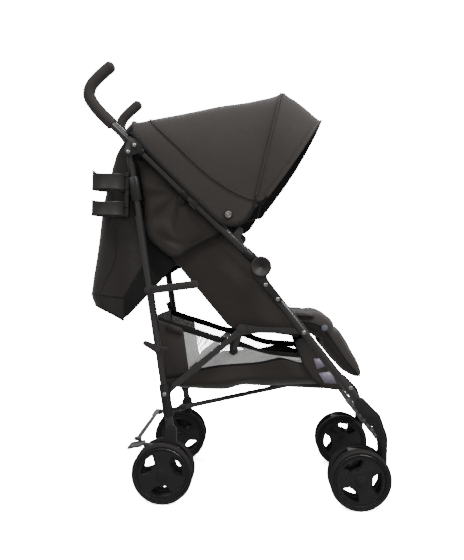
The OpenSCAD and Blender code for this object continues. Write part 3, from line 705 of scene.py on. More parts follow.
# sizes in millimetres, turns in degrees, the last three profiles in metres
wheel = {"radius": 74.0, "width": 22.0, "tyre": 10.5, "openings": 3, "openingHalf": 33.0, "hub": 15.0, "groove": 0.9,
         "turn": {"fr": 115, "fl": 70, "rr": 150, "rl": 75},
         "lip": [(0.0002, -0.0012), (-0.0012, 0.0002), (-0.0034, -0.0002), (-0.0052, -0.003), (-0.0062, -0.009)],
         "cap": [(0, 0.0006), (0.0118, 0.0006), (0.0124, 0.0012), (0.0124, 0.0016), (0.011, 0.0024), (0.006, 0.0031), (0, 0.0033)],
         "ring": [(0.0045, -0.003), (0.0136, -0.003), (0.0136, 0.0004), (0.0128, 0.0008), (0.0045, 0.0008)]}


def arcPoints(r, a0, a1, n):
    return [(r * math.cos(math.radians(a0 + (a1 - a0) * k / n)), r * math.sin(math.radians(a0 + (a1 - a0) * k / n))) for k in range(n + 1)]


def roundedLoop(points, r, steps=5):  # a polygon's corners turned into arcs
    out = []
    n = len(points)
    for i in range(n):
        a, b, c = (Vector(points[(i + k) % n]) for k in (-1, 0, 1))
        d0, d1 = (a - b), (c - b)
        k = min(r, d0.length * 0.48, d1.length * 0.48)
        p0, p1 = b + d0.normalized() * k, b + d1.normalized() * k
        for j in range(steps + 1):
            t = j / steps
            out.append(p0 * (1 - t) ** 2 + b * 2 * t * (1 - t) + p1 * t * t)
    return out


def plate(name, loops, y0, y1, bevel, material):
    # a flat plate with openings, from closed loops in the wheel's plane
    curve = bpy.data.curves.new(name, "CURVE")
    curve.dimensions, curve.fill_mode = "2D", "BOTH"
    for loop in loops:
        spline = curve.splines.new("POLY")
        spline.points.add(len(loop) - 1)
        for point, (x, z) in zip(spline.points, loop):
            point.co = (x, z, 0, 1)
        spline.use_cyclic_u = True
    curve.extrude = abs(y1 - y0) / 2 - bevel
    curve.bevel_depth, curve.bevel_resolution = bevel, 2
    curve.offset = -bevel
    obj = bpy.data.objects.new(name, curve)
    scene.collection.objects.link(obj)
    graph = bpy.context.evaluated_depsgraph_get()
    mesh = bpy.data.meshes.new_from_object(obj.evaluated_get(graph))
    bpy.data.objects.remove(obj)
    mesh.transform(Matrix(((1, 0, 0, 0), (0, 0, -1, (y0 + y1) / 2), (0, 1, 0, 0), (0, 0, 0, 1))))
    mesh.materials.clear()
    mesh.materials.append(material)
    out = bpy.data.objects.new(name, mesh)
    scene.collection.objects.link(out)
    fixNormals(out, 2e-6)
    for face in out.data.polygons:
        face.use_smooth = False
    return out


def buildWheel(node, outward):
    lo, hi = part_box(node)
    centre = (Vector(lo) + Vector(hi)) / 2
    r, half = wheel["radius"] / 1000, wheel["width"] / 2000
    turn = wheel["turn"][node[6:8]]
    deep = 0.015  # half of the space the wheel has on its axle
    centre.y = (hi[1] - deep if outward < 0 else lo[1] + deep)
    centre.z = r
    tyreIn = r - wheel["tyre"] / 1000
    profile = []
    crown = 0.0078  # how far the tread's edges are rounded
    for k in range(7):
        a = math.radians(90 * k / 6)
        profile.append((r - crown + crown * math.sin(a), half - crown + crown * math.cos(a)))
    g = wheel["groove"] / 1000
    for y in (half - crown - 0.002, half - crown - 0.0032, half - crown - 0.0044):
        profile.append((r - (g if y == half - crown - 0.0032 else 0), y))
    profile = profile + [(a, -b) for a, b in profile[::-1]]
    profile += [(tyreIn + 0.002, -half + 0.0004), (tyreIn, -half + 0.0024), (tyreIn, half - 0.0024), (tyreIn + 0.002, half - 0.0004)]
    tyre = lathe(node + "_tyre", profile, centre, tyreMat, 96)
    lip = [(tyreIn + a, half + b) for a, b in wheel["lip"]]
    lip += [(a, -b) for a, b in lip[::-1]]
    rim = lathe(node + "_rim", lip, centre, rimPlastic, 96)
    rimIn = tyreIn - 0.005
    face = half - 0.0055
    loops = [[Vector(p) for p in arcPoints(rimIn, 0, 360, 72)[:-1]]]
    h = wheel["openingHalf"]
    for k in range(wheel["openings"]):
        a = turn + 120 * k
        root = [math.radians(b) for b in (a + h * 0.75, a, a - h * 0.75)]
        shape = arcPoints(rimIn - 0.007, a - h, a + h, 10) + [(0.0285 * math.cos(b), 0.0285 * math.sin(b)) for b in root]
        loops.append(roundedLoop(shape, 0.009))
    parts = [tyre, rim]
    for side in (1, -1):
        y = centre.y + side * face
        disc = plate(node + "_disc", loops, y - side * 0.002, y + side * 0.002, 0.0011, rimPlastic)
        disc.data.transform(Matrix.Translation((centre.x, 0, centre.z)))
        parts.append(disc)
    for k in range(wheel["openings"]):  # webs between the two faces
        a = math.radians(turn + 60 + 120 * k)
        for spread in (-0.42, 0.42):
            d = Vector((math.cos(a + spread), 0, math.sin(a + spread)))
            path = [centre + d * 0.015, centre + d * (rimIn + 0.0005)]
            parts.append(sweep(node + "_web", path, boxSection(2 * face, 0.003), rimPlastic, up=sideways))
    hub = wheel["hub"] / 1000
    near0, far0 = (half - 0.002, deep) if outward < 0 else (deep, half - 0.002)
    hubProfile = [(0.0044, -near0), (hub - 0.004, -near0), (hub, -near0 + 0.003), (hub, far0 - 0.003), (hub - 0.004, far0), (0.0044, far0)]
    parts.append(lathe(node + "_hub", hubProfile, centre, rimPlastic, 48))
    cap, ring = ([(a, outward * (half - 0.002 + b)) for a, b in wheel[key]] for key in ("cap", "ring"))  # over the axle's end
    parts.append(lathe(node + "_cap", [(0.0001, outward * (half - 0.004))] + cap, centre, rimPlastic, 40))
    parts.append(lathe(node + "_ring", ring, centre, rimPlastic, 40))
    for k in range(wheel["openings"]):  # raised lip round each opening
        for s in (1, -1):
            loop = [centre + Vector((q.x, s * (face + 0.0022), q.y)) for q in loops[1 + k]]
            parts.append(sweep(node + "_lip", loop + loop[:2], circle(0.0009, 6), rimPlastic, up=sideways, caps=False))
    obj = joined(node + "_finished", parts)
    for poly in obj.data.polygons:
        poly.use_smooth = True
    markSharp(obj, 40)
    hand(obj, bodyOf(node), "tyre_and_rim", node)
    return obj


def markSharp(obj, angle):
    bm = bmesh.new()
    bm.from_mesh(obj.data)
    for edge in bm.edges:
        edge.smooth = not (edge.is_manifold and edge.calc_face_angle(0) > math.radians(angle))
    bm.to_mesh(obj.data)
    bm.free()


# hubs: a round body with a raised blank disc, a sleeve up the push tube and a tapering socket on the front leg
# faces in metres from the middle plane, all else in millimetres
hubShape = {"face": 0.2202, "socketFace": 0.2166, "centre": (225.5, 575.5), "radius": 25.0, "bevel": 2.4,
            "sleeve": [(186.5, 612.2), (188, 610.8), (216, 585.2)],
            "socket": [(200, 577), (200.5, 562), (207, 547), (221, 535), (234, 521.5), (253, 503), (262, 491.5), (270, 487.5), (277.5, 493.5),
                       (276, 501.5), (262.5, 519.5), (249.5, 535.5), (240, 549), (238, 575)]}


def flatPart(name, outline, y0, y1, bevel, corner, material):
    # a flat plate with rounded corners, from an outline in millimetres
    loop = roundedLoop([(at(x, 0, 0).x, z / 1000) for x, z in outline], corner / 1000)
    obj = plate(name, [loop], y0, y1, bevel / 1000, material)
    for face in obj.data.polygons:
        face.use_smooth = True
    markSharp(obj, 40)
    return obj


def buildHub(side, tag):
    lo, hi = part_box("hub_" + tag)
    inner = hi[1] if side < 0 else lo[1]
    outer = side * hubShape["face"]
    x, z = hubShape["centre"]
    r = hubShape["radius"] / 1000
    profile = [(0.0001, inner), (r - 0.001, inner), (r, inner + side * 0.001), (r, outer - side * 0.0022),
               (r - 0.0016, outer - side * 0.0004), (r - 0.0042, outer), (r - 0.0048, outer - side * 0.0009),
               (0.0001, outer - side * 0.0007)]
    body = lathe("hub_body", profile, Vector((at(x, 0, 0).x, 0, z / 1000)), plasticSoft, 72)
    oval = [(0.0142 * math.cos(math.pi * k / 14), 0.0118 * math.sin(math.pi * k / 14)) for k in range(28)]
    line = [at(a, side * 200, b) for a, b in hubShape["sleeve"]]
    sleeve = sweep("hub_sleeve", line, oval, plasticBlack, up=sideways, scales=[0.93, 1, 1])
    hand(joined("hub_" + tag + "_finished", [body, sleeve]), bodyOf("hub_" + tag), "plastic_black", "hub_" + tag)
    lo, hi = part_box("hub_socket_" + tag)
    socket = flatPart("hub_socket_" + tag + "_finished", hubShape["socket"], side * hubShape["socketFace"],
                      hi[1] if side < 0 else lo[1], hubShape["bevel"], 6, plasticBlack)
    hand(socket, bodyOf("hub_socket_" + tag), "plastic_black", "hub_socket_" + tag)


buildHub(-1, "right")
buildHub(1, "left")
print("hubs done")

for corner in ("fr", "fl", "rr", "rl"):
    outward = -1 if corner.endswith("r") else 1
    buildWheel(f"wheel_{corner}_outer", outward)
    buildWheel(f"wheel_{corner}_inner", -outward)
print("wheels done")

hood = {"halfWidth": 213.6, "roundness": 3.4, "rows": 34, "columns": 60, "cloth": 1.6, "sag": 5.0,
        "bow": -6.0,  # how far the visor's sides bulge back
        "seamA": [(203, 735), (150, 757), (87, 799), (18, 861), (-38, 912), (-62, 941)],
        "seamB": [(209, 742), (222, 800), (243, 890), (258, 970), (266, 1023)],
        "low": [(-95, 892), (-40, 835), (25, 772), (89, 712), (121, 684), (140, 675),
                (162, 674), (185, 687), (198, 705), (205, 719), (208, 738)],
        "top": [(-95, 930), (-38, 953), (47, 975), (120, 992), (160, 1001),
                (190, 1008), (212, 1013), (235, 1018), (250, 1022), (262, 1025), (272, 1027)],
        "visorLow": [(207, 733), (214, 729), (222, 732), (234, 742)],
        "visorTop": [(275, 1027), (305, 1011), (340, 984), (371, 955)]}


def along(table, s):  # a smooth point of a short list, s from 0 to 1
    n = len(table) - 1
    t = min(max(s, 0), 1) * n
    i = min(int(t), n - 1)
    f = t - i
    return throughFour([Vector(table[min(max(i + k, 0), n)]) for k in (-1, 0, 1, 2)], f)


def archPoint(lows, tops, half, roundness, s, w, side=-1, bow=0.0):
    low, top = along(lows, s), along(tops, s)
    w = min(max(w, 0), 1)
    y = half * (1 - w ** roundness) ** (1 / roundness)
    q = low.lerp(top, w)
    return at(q.x - bow * s * math.sin(math.pi * w), side * y, q.y)


def archRow(lows, tops, half, roundness, s, columns, bow=0.0, sag=0.0):
    fine = []
    for k in range(241):
        a = math.pi / 2 * k / 240
        fine.append(archPoint(lows, tops, half, roundness, s, math.sin(a) ** (2 / roundness), -1, bow))
    left = [Vector((p.x, -p.y, p.z)) for p in fine[:-1]][::-1]
    row = evenly(fine + left, columns + 1)
    for k, p in enumerate(row):
        f = k / columns
        drop = sag / 1000 * math.sin(math.pi * f) ** 2
        p.z -= drop
        p.y *= 1 - 0.6 * drop / 0.2
    return row


def hoodRows(lows, tops, rows, half, bow=0.0, bows=(0, 1), sag=None):
    out = []
    for i in range(rows + 1):
        s = i / rows
        gap = min(abs(s - b) for b in bows)
        dip = (hood["sag"] if sag is None else sag) * min(1, gap * 5) ** 0.7
        out.append(archRow(lows, tops, half, hood["roundness"], s, hood["columns"], bow, dip))
    return out


def sideLine(curve, lows, tops, half, count, bow=0.0, lift=0.8):
    # a seam drawn in the side view, laid on the hood from one side over the top to the other
    pts = curved(curve, 240)
    out = []
    for q in pts:
        a, b = 0.0, 1.0
        for _ in range(40):
            m = (a + b) / 2
            low, top = along(lows, m), along(tops, m)
            cross = (top.x - low.x) * (q.y - low.y) - (top.y - low.y) * (q.x - low.x)
            a, b = (m, b) if cross < 0 else (a, m)
        low, top = along(lows, a), along(tops, a)
        w = (q - low).dot(top - low) / (top - low).length_squared
        out.append(archPoint(lows, tops, half + lift, hood["roundness"], a, w, -1, bow))
    end = out[-1].copy()
    end.y = 0
    out.append(end)
    left = [Vector((p.x, -p.y, p.z)) for p in out[:-1]][::-1]
    return evenly(out + left, count)


def outwards(path, centre):
    return [(p - Vector((p.x, centre[1], centre[2]))).normalized() for p in path]


def buildHood():
    half = hood["halfWidth"]
    rearRows = hoodRows(hood["low"], hood["top"], hood["rows"], half, bows=(0, 0.28, 1))
    visorRows = hoodRows(hood["visorLow"], hood["visorTop"], 14, half, hood["bow"])
    rear = gridSheet("hood_rear_cloth", rearRows, canopyCloth, hood["cloth"] / 1000, offset=1)
    visor = gridSheet("hood_visor_cloth", visorRows, canopyCloth, hood["cloth"] / 1000, offset=1)
    lining = [[p + Vector((0.002, -math.copysign(0.003, p.y) if abs(p.y) > 0.05 else 0, -0.004)) for p in row]
              for row in hoodRows(hood["low"], hood["top"], 16, half - 3, sag=7)]
    inner = gridSheet("hood_lining", lining, bindingTapeAndPaintedShade, 0.0008)
    lining = [[p + Vector((0.0005, 0, -0.004)) for p in row]
              for row in hoodRows(hood["visorLow"], hood["visorTop"], 8, half - 3, hood["bow"])]
    innerVisor = gridSheet("visor_lining", lining, bindingTapeAndPaintedShade, 0.0008)
    hinge = at(140, 0, 800)
    seamA = sideLine(hood["seamA"], hood["low"], hood["top"], half + 1.2, 150)
    seamB = sideLine(hood["seamB"], hood["low"], hood["top"], half + 1.2, 150)
    parts = []
    for tag, seam in (("a", seamA), ("b", seamB)):
        parts.append(sweep("hood_seam_" + tag, seam, boxSection(0.0042, 0.0016, 0.0006), canopyCloth, up=Vector((1, 0, 0.3))))
        for off in (-0.0045, 0.0045):
            path = [p + Vector((off, 0, 0)) for p in seam]
            parts.append(stitches("hood_stitch_" + tag, path, outwards(path, hinge)))
    for side in (-1, 1):  # bound lower edge and rear corner
        edge = [archPoint(hood["low"], hood["top"], half + 0.8, hood["roundness"], k / 60, 0, side) for k in range(61)]
        parts.append(sweep("hood_edge", edge, boxSection(0.0075, 0.0026, 0.001), bindingTapeAndPaintedShade, up=upwards))
        line = [p + Vector((0, 0, 0.009)) for p in edge]
        parts.append(stitches("hood_edge_stitch", line, [Vector((0, side, 0))] * len(line)))
    back = archRow(hood["low"], hood["top"], half + 0.5, hood["roundness"], 0, 120)
    parts.append(sweep("hood_back_edge", back, boxSection(0.009, 0.003, 0.001), bindingTapeAndPaintedShade, up=Vector((0.3, 0, 1))))
    rearTrim = joined("hood_rear_trim", [inner] + parts)
    visorParts = []
    front = archRow(hood["visorLow"], hood["visorTop"], half + 0.9, hood["roundness"], 1, 150, hood["bow"])
    visorParts.append(sweep("visor_edge", front, boxSection(0.0085, 0.003, 0.0012), canopyCloth, up=Vector((0.5, 0, 0.4))))
    front = archRow(hood["visorLow"], hood["visorTop"], half + 1.8, hood["roundness"], 1, 150, hood["bow"])
    line = [p + Vector((-0.010, 0, 0.002)) for p in front]
    visorParts.append(stitches("visor_stitch", line, outwards(line, hinge)))
    lobe = []
    for side in (-1, 1):  # lining lobe under the notch
        rows = [[at(x, side * (half - 3), z) for x, z in row]
                for row in ([(204, 742), (214, 745), (226, 752), (238, 760)], [(206, 722), (217, 717), (229, 724), (240, 745)])]
        lobe.append(gridSheet("lobe", rows, bindingTapeAndPaintedShade, 0.001))
    visorTrim = joined("hood_visor_trim", [innerVisor] + visorParts + lobe)
    hand(rear, "frame_right", "canopy_cloth", "hood_rear")
    hand(visor, "hood_front", "canopy_cloth", "hood_visor")
    hand(rearTrim, "frame_right", "canopy_cloth")
    hand(visorTrim, "hood_front", "canopy_cloth")
    for piece in (rear, rearTrim, visor, visorTrim):
        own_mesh(piece)
    declareSheet(rearRows)
    declareSheet(visorRows)


buildHood()
print("hood done")

# side wings are cloth between the push tube and the rear leg, gathered under a strap loop
wing = {"plane": 181.0, "fold": 9.0, "folds": 9, "cloth": 1.4,
        "top": [(-84, 830), (-56, 824), (-15, 793), (22, 752), (60, 722), (98, 690), (136, 660)],
        "low": [(-64, 742), (-56, 655), (-24, 618), (14, 596), (55, 618), (95, 640), (131, 657)]}


def buildWing(side):
    rows = []
    gather = Vector((22, 752))
    for i in range(45):
        top, low = along(wing["top"], i / 44), along(wing["low"], i / 44)
        row = []
        for j in range(37):
            f = j / 36
            q = top.lerp(low, f)
            d = q - gather
            angle = math.atan2(d.y, d.x)
            reach = min(1, d.length / 120)
            wave = math.sin(angle * wing["folds"]) * math.exp(-((d.length - 60) / 70) ** 2)
            soft = noise.noise(Vector((q.x / 60, q.y / 60, 2.0 + side))) * 6 * reach
            crease = -10 * math.exp(-((q.y - (640 - 0.35 * (q.x + 20))) / 9) ** 2) * max(0, 1 - abs(q.x + 5) / 70)
            belly = 13 * math.sin(math.pi * f) * math.sin(math.pi * min(i / 44 * 1.05, 1))
            y = wing["plane"] + belly - 8 + (wave * wing["fold"] * 0.5 + soft + crease) * math.sin(math.pi * min(f * 1.15, 1)) ** 0.5
            row.append(at(q.x, side * min(y, 187), q.y))
        rows.append(row)
    tag = "right" if side < 0 else "left"
    cloth = gridSheet("side_wing_cloth_" + tag, rows, canopyCloth, wing["cloth"] / 1000)
    hem = [row[-1] + Vector((0, side * 0.001, 0)) for row in rows]
    parts = [sweep("wing_hem", hem, boxSection(0.007, 0.0028, 0.001), bindingTapeAndPaintedShade, up=upwards)]
    line = [row[-2] + Vector((0, side * 0.0014, 0)) for row in rows]
    parts.append(stitches("wing_stitch", line, [Vector((0, side, 0))] * len(line)))
    trim = joined("side_wing_trim_" + tag, parts)
    hand(cloth, "frame_" + tag, "canopy_cloth", "side_wing_" + tag)
    hand(trim, "frame_" + tag, "canopy_cloth")
    declareSheet(rows)


for side in (-1, 1):
    buildWing(side)

# the rear cover is a deep cloth back that hangs behind the seat
# outline: height, front edge x, rear edge x, half width, how far the front edge hangs lower
cover = {"cloth": 1.6, "drape": 4.0, "columns": 64, "scale": 1.026,
         "outline": [(868, -100, -112, 182, 0), (840, -96, -136, 180, 0), (800, -84, -150, 178, 0), (757, -76, -162, 172, 0),
                     (712, -68, -172, 168, 0), (668, -62, -178, 165, 0), (620, -58, -184, 163, 0), (575, -60, -190, 162, 0),
                     (540, -82, -195, 161, 3), (504, -103, -199, 160, 8),
                     (500, -105, -200, 160, 12), (486, -105, -196, 158, 28), (476, -104, -190, 156, 38)]}


def buildCover():
    rows = []
    for z, front, back, half, drop in [tuple(along(cover["outline"], k / 40)) for k in range(41)]:
        row = []
        for k in range(cover["columns"] + 1):
            a = math.pi * k / cover["columns"]
            c, s = math.cos(a), math.sin(a)
            u, v = math.copysign(abs(c) ** 0.42, c), s ** 0.42
            y = -half * u
            x = front + (back - front) * v
            low = 1 if y < 0 else -0.8  # the left corner hangs higher
            k1 = cover["scale"]
            q = Vector((x, z - drop * low * (1 - v) ** 1.2))
            wrinkle = noise.noise(Vector((x / 45, y / 70, z / 120))) * cover["drape"]
            row.append(at(220 + (q.x - 220) * k1 - wrinkle * v * 0.6, y + wrinkle * (1 - v) * 0.7, 565 + (q.y - 565) * k1))
        rows.append(evenly(row, cover["columns"] + 1))
    cloth = gridSheet("rear_cover_cloth", rows, shadedCanopyCloth, cover["cloth"] / 1000)
    parts = []
    seamRow, hemRow = rows[31], rows[-1]
    for tag, line, w in (("seam", seamRow, 0.003), ("hem", hemRow, 0.006)):
        path = [p + Vector((0, math.copysign(0.001, p.y), 0)) for p in line]
        parts.append(sweep("cover_" + tag, path, boxSection(w, 0.0026, 0.0009), bindingTapeAndPaintedShade, up=upwards))
    for col in (9, cover["columns"] - 9):
        line = [rows[k][col] + Vector((-0.0006, math.copysign(0.0012, rows[k][col].y), 0)) for k in range(6, 41)]
        parts.append(sweep("cover_side_seam", line, boxSection(0.0032, 0.0016, 0.0006), shadedCanopyCloth, up=Vector((1, 0, 0))))
        outward = Vector((0, math.copysign(1, line[0].y), 0))
        parts.append(stitches("cover_stitch", [p + Vector((0.004, 0, 0)) for p in line], [outward] * len(line)))
    brow = archRow(hood["low"], hood["top"], hood["halfWidth"] + 0.4, hood["roundness"], 0, cover["columns"])
    flap = []
    for k in range(9):  # cloth that closes the gap under the hood's rear edge, near-black as painted shade
        f = k / 8
        dip = math.sin(math.pi * f)
        flap.append([a.lerp(b, f) + Vector((-0.009 * dip, 0, 0.003 * dip * math.sin(a.y * 60))) for a, b in zip(brow, rows[0])])
    parts.append(gridSheet("cover_flap", flap, bindingTapeAndPaintedShade, 0.0016))
    for col, side in ((0, -1), (cover["columns"], 1)):  # side walls from the cover's front edge to the seat, near-black as painted shade
        wall = []
        for i in range(13, 41, 3):
            f = (i - 13) / 27
            b = at(10 + 14 * f, side * 150, 665 - 77 * f)
            wall.append([rows[i][col].lerp(b, g / 6) for g in range(7)])
        parts.append(gridSheet("cover_wall", wall, bindingTapeAndPaintedShade, 0.0012))
    # underside, from the hem's front edge up to the seat's back, near-black as painted shade
    lows = rows[-1]
    under = []
    for f in (0, 0.25, 0.5, 0.75, 1.0):
        row = []
        for p in lows:
            high = Vector((at(22, 0, 0).x, p.y * 0.93, 0.588))
            q = p.lerp(high, f)
            q.z += 0.019 * math.sin(math.pi * f) if abs(p.y) > 0.1 else 0.03 * math.sin(math.pi * f)
            row.append(q)
        under.append(row)
    parts.append(gridSheet("cover_under", under, bindingTapeAndPaintedShade, 0.0012))
    trim = joined("rear_cover_trim", parts)
    hand(cloth, "frame_right", "canopy_cloth", "rear_cover")
    hand(trim, "frame_right", "canopy_cloth")
    for piece in (cloth, trim):
        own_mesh(piece)
    declareSheet(rows)


buildCover()
print("side wings and rear cover done")

# seat: backrest, side panels, cushion, leg rest and harness
seat = {"halfWidth": 145.0, "crown": 17.0, "backing": 7.0, "puff": 2.0, "lean": 48, "backLow": (177, 432)}
backLean = math.radians(seat["lean"])
backLow = Vector(seat["backLow"])
backDir = Vector((-math.cos(backLean), math.sin(backLean)))
backNormal = Vector((math.sin(backLean), math.cos(backLean)))


def backSurface(u, v):
    t, c = 20 + u * 372, 2 * v - 1
    q = backLow + backDir * t + backNormal * (7 + 16 * abs(c) ** 5)
    n = Vector((backNormal.x, -math.copysign(abs(c) ** 4 * 0.9, c), backNormal.y)).normalized()
    return at(q.x, c * seat["halfWidth"], q.y), n


def cushionSurface(u, v):
    x, c = 206 + u * 152, 2 * v - 1
    z = 446 + 10 * abs(c) ** 6 - 8 * max(0, u - 0.8) * 5 * max(0, u - 0.8)
    return at(x, c * seat["halfWidth"], z), Vector((0.08 * max(0, u - 0.7), 0, 1)).normalized()


legRest = {"line": [(316, 446), (358, 441), (384, 425), (412, 388), (438, 352), (469, 318)],
           "thick": [(21, 0), (28, 0), (29, 0), (28, 0), (24, 0), (17, 0)]}


def legSurface(u, v):
    q, d = along(legRest["line"], u), along(legRest["line"], min(u + 0.02, 1)) - along(legRest["line"], max(u - 0.02, 0))
    n = Vector((-d.y, d.x)).normalized()
    c = 2 * v - 1
    p = near(q.x, q.y, -142)
    return Vector((p.x, c * (seat["halfWidth"] - 3) / 1000, p.z)), Vector((n.x, 0, n.y))


def padWithPiping(name, surface, size, counts, front, back, channels, seed, body, slotName, replaced, taper=None):
    mm = 0.001
    obj = pillow(name, surface, size, counts, front * mm, back * mm, seatCloth, channels, seat["puff"] * mm, seed, taper=taper)
    parts = [obj]
    for ends in ((0, 0, 1, 0), (0, 1, 1, 1), (0, 0, 0, 1), (1, 0, 1, 1)):
        parts.append(piping(name + "_piping", edgeOf(surface, *ends), bindingTapeAndPaintedShade))
    for way, place, width, depth in channels:
        if depth < 0.5:
            continue
        for off in (-0.012, 0.012):
            ends = (place + off, 0.03, place + off, 0.97) if way == "u" else (0.03, place + off, 0.97, place + off)
            path, normals = [], []
            tree = BVHTree.FromObject(obj, bpy.context.evaluated_depsgraph_get())
            for k in range(60):
                f = k / 59
                p, n = surface(ends[0] + (ends[2] - ends[0]) * f, ends[1] + (ends[3] - ends[1]) * f)
                hit = tree.ray_cast(p + n * 0.08, -n)[0]
                if hit is not None:
                    path.append(hit)
                    normals.append(n)
            if len(path) > 4:
                parts.append(stitches(name + "_stitch", path, normals))
    whole = joined(name, parts)
    hand(whole, body, slotName, *replaced)
    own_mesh(whole)
    return whole


padWithPiping("backrest_finished", backSurface, (0.372, 0.29), (64, 60), seat["crown"], seat["backing"],
              (("v", 0.24, 0.025, 0.62), ("v", 0.76, 0.025, 0.62), ("u", 0.30, 0.02, 0.55), ("u", 0.55, 0.02, 0.55), ("u", 0.80, 0.02, 0.55)),
              1.0, "backrest", "seat_cloth", ("backrest",))
padWithPiping("seat_pad_finished", cushionSurface, (0.152, 0.29), (40, 60), 15, 12,
              (("v", 0.24, 0.03, 0.6), ("v", 0.76, 0.03, 0.6), ("u", 0.52, 0.05, 0.55)), 5.0, "seat_right", "seat_cloth", ("seat_pad",))
padWithPiping("leg_rest_finished", legSurface, (0.20, 0.284), (60, 64), 1, 1,
              (("u", 0.46, 0.03, 0.30), ("v", 0.33, 0.02, 0.30), ("v", 0.67, 0.02, 0.30)), 9.0, "leg_rest", "seat_cloth", ("leg_rest",),
              taper=lambda u: along(legRest["thick"], u).x)


sideWall = {"low": [(-60, 660), (14, 590), (70, 526), (128, 460), (158, 430), (206, 424), (262, 418), (318, 412)],
            "top": [(-40, 765), (60, 712), (120, 662), (165, 622), (204, 586), (242, 540), (285, 486), (338, 426)]}


def sidePanel(side):
    # soft wall from the backrest's rear edge out to the push tube
    rows = []
    for i in range(49):
        a, b = along(sideWall["low"], i / 48), along(sideWall["top"], i / 48)
        row = []
        for j in range(25):
            f = j / 24
            q = a.lerp(b, f)
            soft = noise.noise(Vector((q.x / 50, q.y / 50, 7.0 * side))) * 3
            crease = 4.0 * math.exp(-((f - 0.86) / 0.07) ** 2)
            y = 150 + 8 * math.sin(math.pi * min(f * 0.9, 1)) + soft * math.sin(math.pi * f) + crease
            p = near(q.x, q.y, -155)
            row.append(Vector((p.x, side * y / 1000, p.z)))
        rows.append(row)
    parts = [gridSheet("panel", rows, seatCloth, 0.003)]
    for j in (0, 24):
        parts.append(piping("panel_edge", [row[j] for row in rows], seatCloth, 0.0036))
    obj = joined("seat_side_panel" + ("_right" if side < 0 else "_left"), parts)
    hand(obj, "frame_right" if side < 0 else "frame_left", "seat_cloth")
    return obj


for side in (-1, 1):
    sidePanel(side)


def strapOn(path3, width, name, material=webStrap, thick=0.0022, up=sideways):
    return sweep(name, path3, boxSection(width, thick, 0.0008), material, up=up)


harness = {"strap": 0.025, "pad": (0.044, 0.009, 0.004), "lap": 0.024, "slider": (0.032, 0.006, 0.002), "crotch": 0.030}  # metres


def buildHarness():
    parts = []
    tree = BVHTree.FromObject(bpy.data.objects["backrest_finished"], bpy.context.evaluated_depsgraph_get())
    for side in (-1, 1):
        path = []
        for k in range(41):
            f = k / 40
            t = 300 - 232 * f
            y = side * (52 - 18 * f)
            q = backLow + backDir * t
            n = Vector((backNormal.x, 0, backNormal.y))
            hit = tree.ray_cast(at(q.x, y, q.y) + n * 0.09, -n)[0]
            if hit is not None:
                path.append(hit + n * 0.004)
        parts.append(strapOn(path, harness["strap"], "strap"))
        pad = [p + Vector((backNormal.x, 0, backNormal.y)) * 0.003 for p in path[3:24]]
        scales = [0.6 + 0.4 * min(1, min(k, len(pad) - 1 - k) / 3) for k in range(len(pad))]
        parts.append(sweep("strap_pad", pad, boxSection(*harness["pad"]), seatCloth, up=sideways, scales=scales))
    obj = joined("harness_finished", parts)
    hand(obj, "backrest", "seat_cloth", "harness")
    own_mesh(obj)
    lap = []
    for side in (-1, 1):
        pts = curved([at(252, side * 20, 487), at(240, side * 50, 482), at(226, side * 95, 474), at(214, side * 140, 470)], 24)
        lap.append(strapOn(pts, harness["lap"], "lap_strap", up=upwards))
        lap.append(sweep("lap_slider", pts[8:12], boxSection(*harness["slider"]), plasticBlack, up=upwards))
    lap.append(strapOn(curved([at(254, 0, 470), at(258, 0, 462), at(264, 0, 452)], 8), harness["crotch"], "crotch_strap"))
    obj = joined("lap_straps", lap)
    hand(obj, "seat_right", "seat_cloth")
    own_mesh(obj)


buildHarness()
print("seat done")

basket = {"half": 157.0, "cloth": 1.2, "sag": 9.0, "tab": [(156.7, 410), (168.8, 410), (174.1, 365.5), (163.7, 358.5), (153.3, 365)],
          "hem": [(-27, 443), (20, 428), (70, 414), (119, 399), (173, 388), (232, 368), (277, 363), (333, 360), (352, 356)],
          "wave": [(-8, 300), (36, 306), (90, 324), (143, 334), (222, 342), (282, 355), (322, 346), (345, 343), (362, 340)],
          "floor": [(19, 272), (60, 269), (100, 268), (145, 268), (190, 281), (234, 279), (290, 284), (350, 287), (412, 288)],
          "panelIn": [(318, 402), (321, 378), (332, 344), (349, 316), (376, 293), (416, 283)],
          "panelOut": [(338, 412), (352, 392), (372, 366), (390, 344), (410, 318), (434, 286)],
          "windows": [((357, 357), (373, 357), (385, 338), (366, 331)), ((370, 322), (399, 327), (415, 297), (385, 298))]}


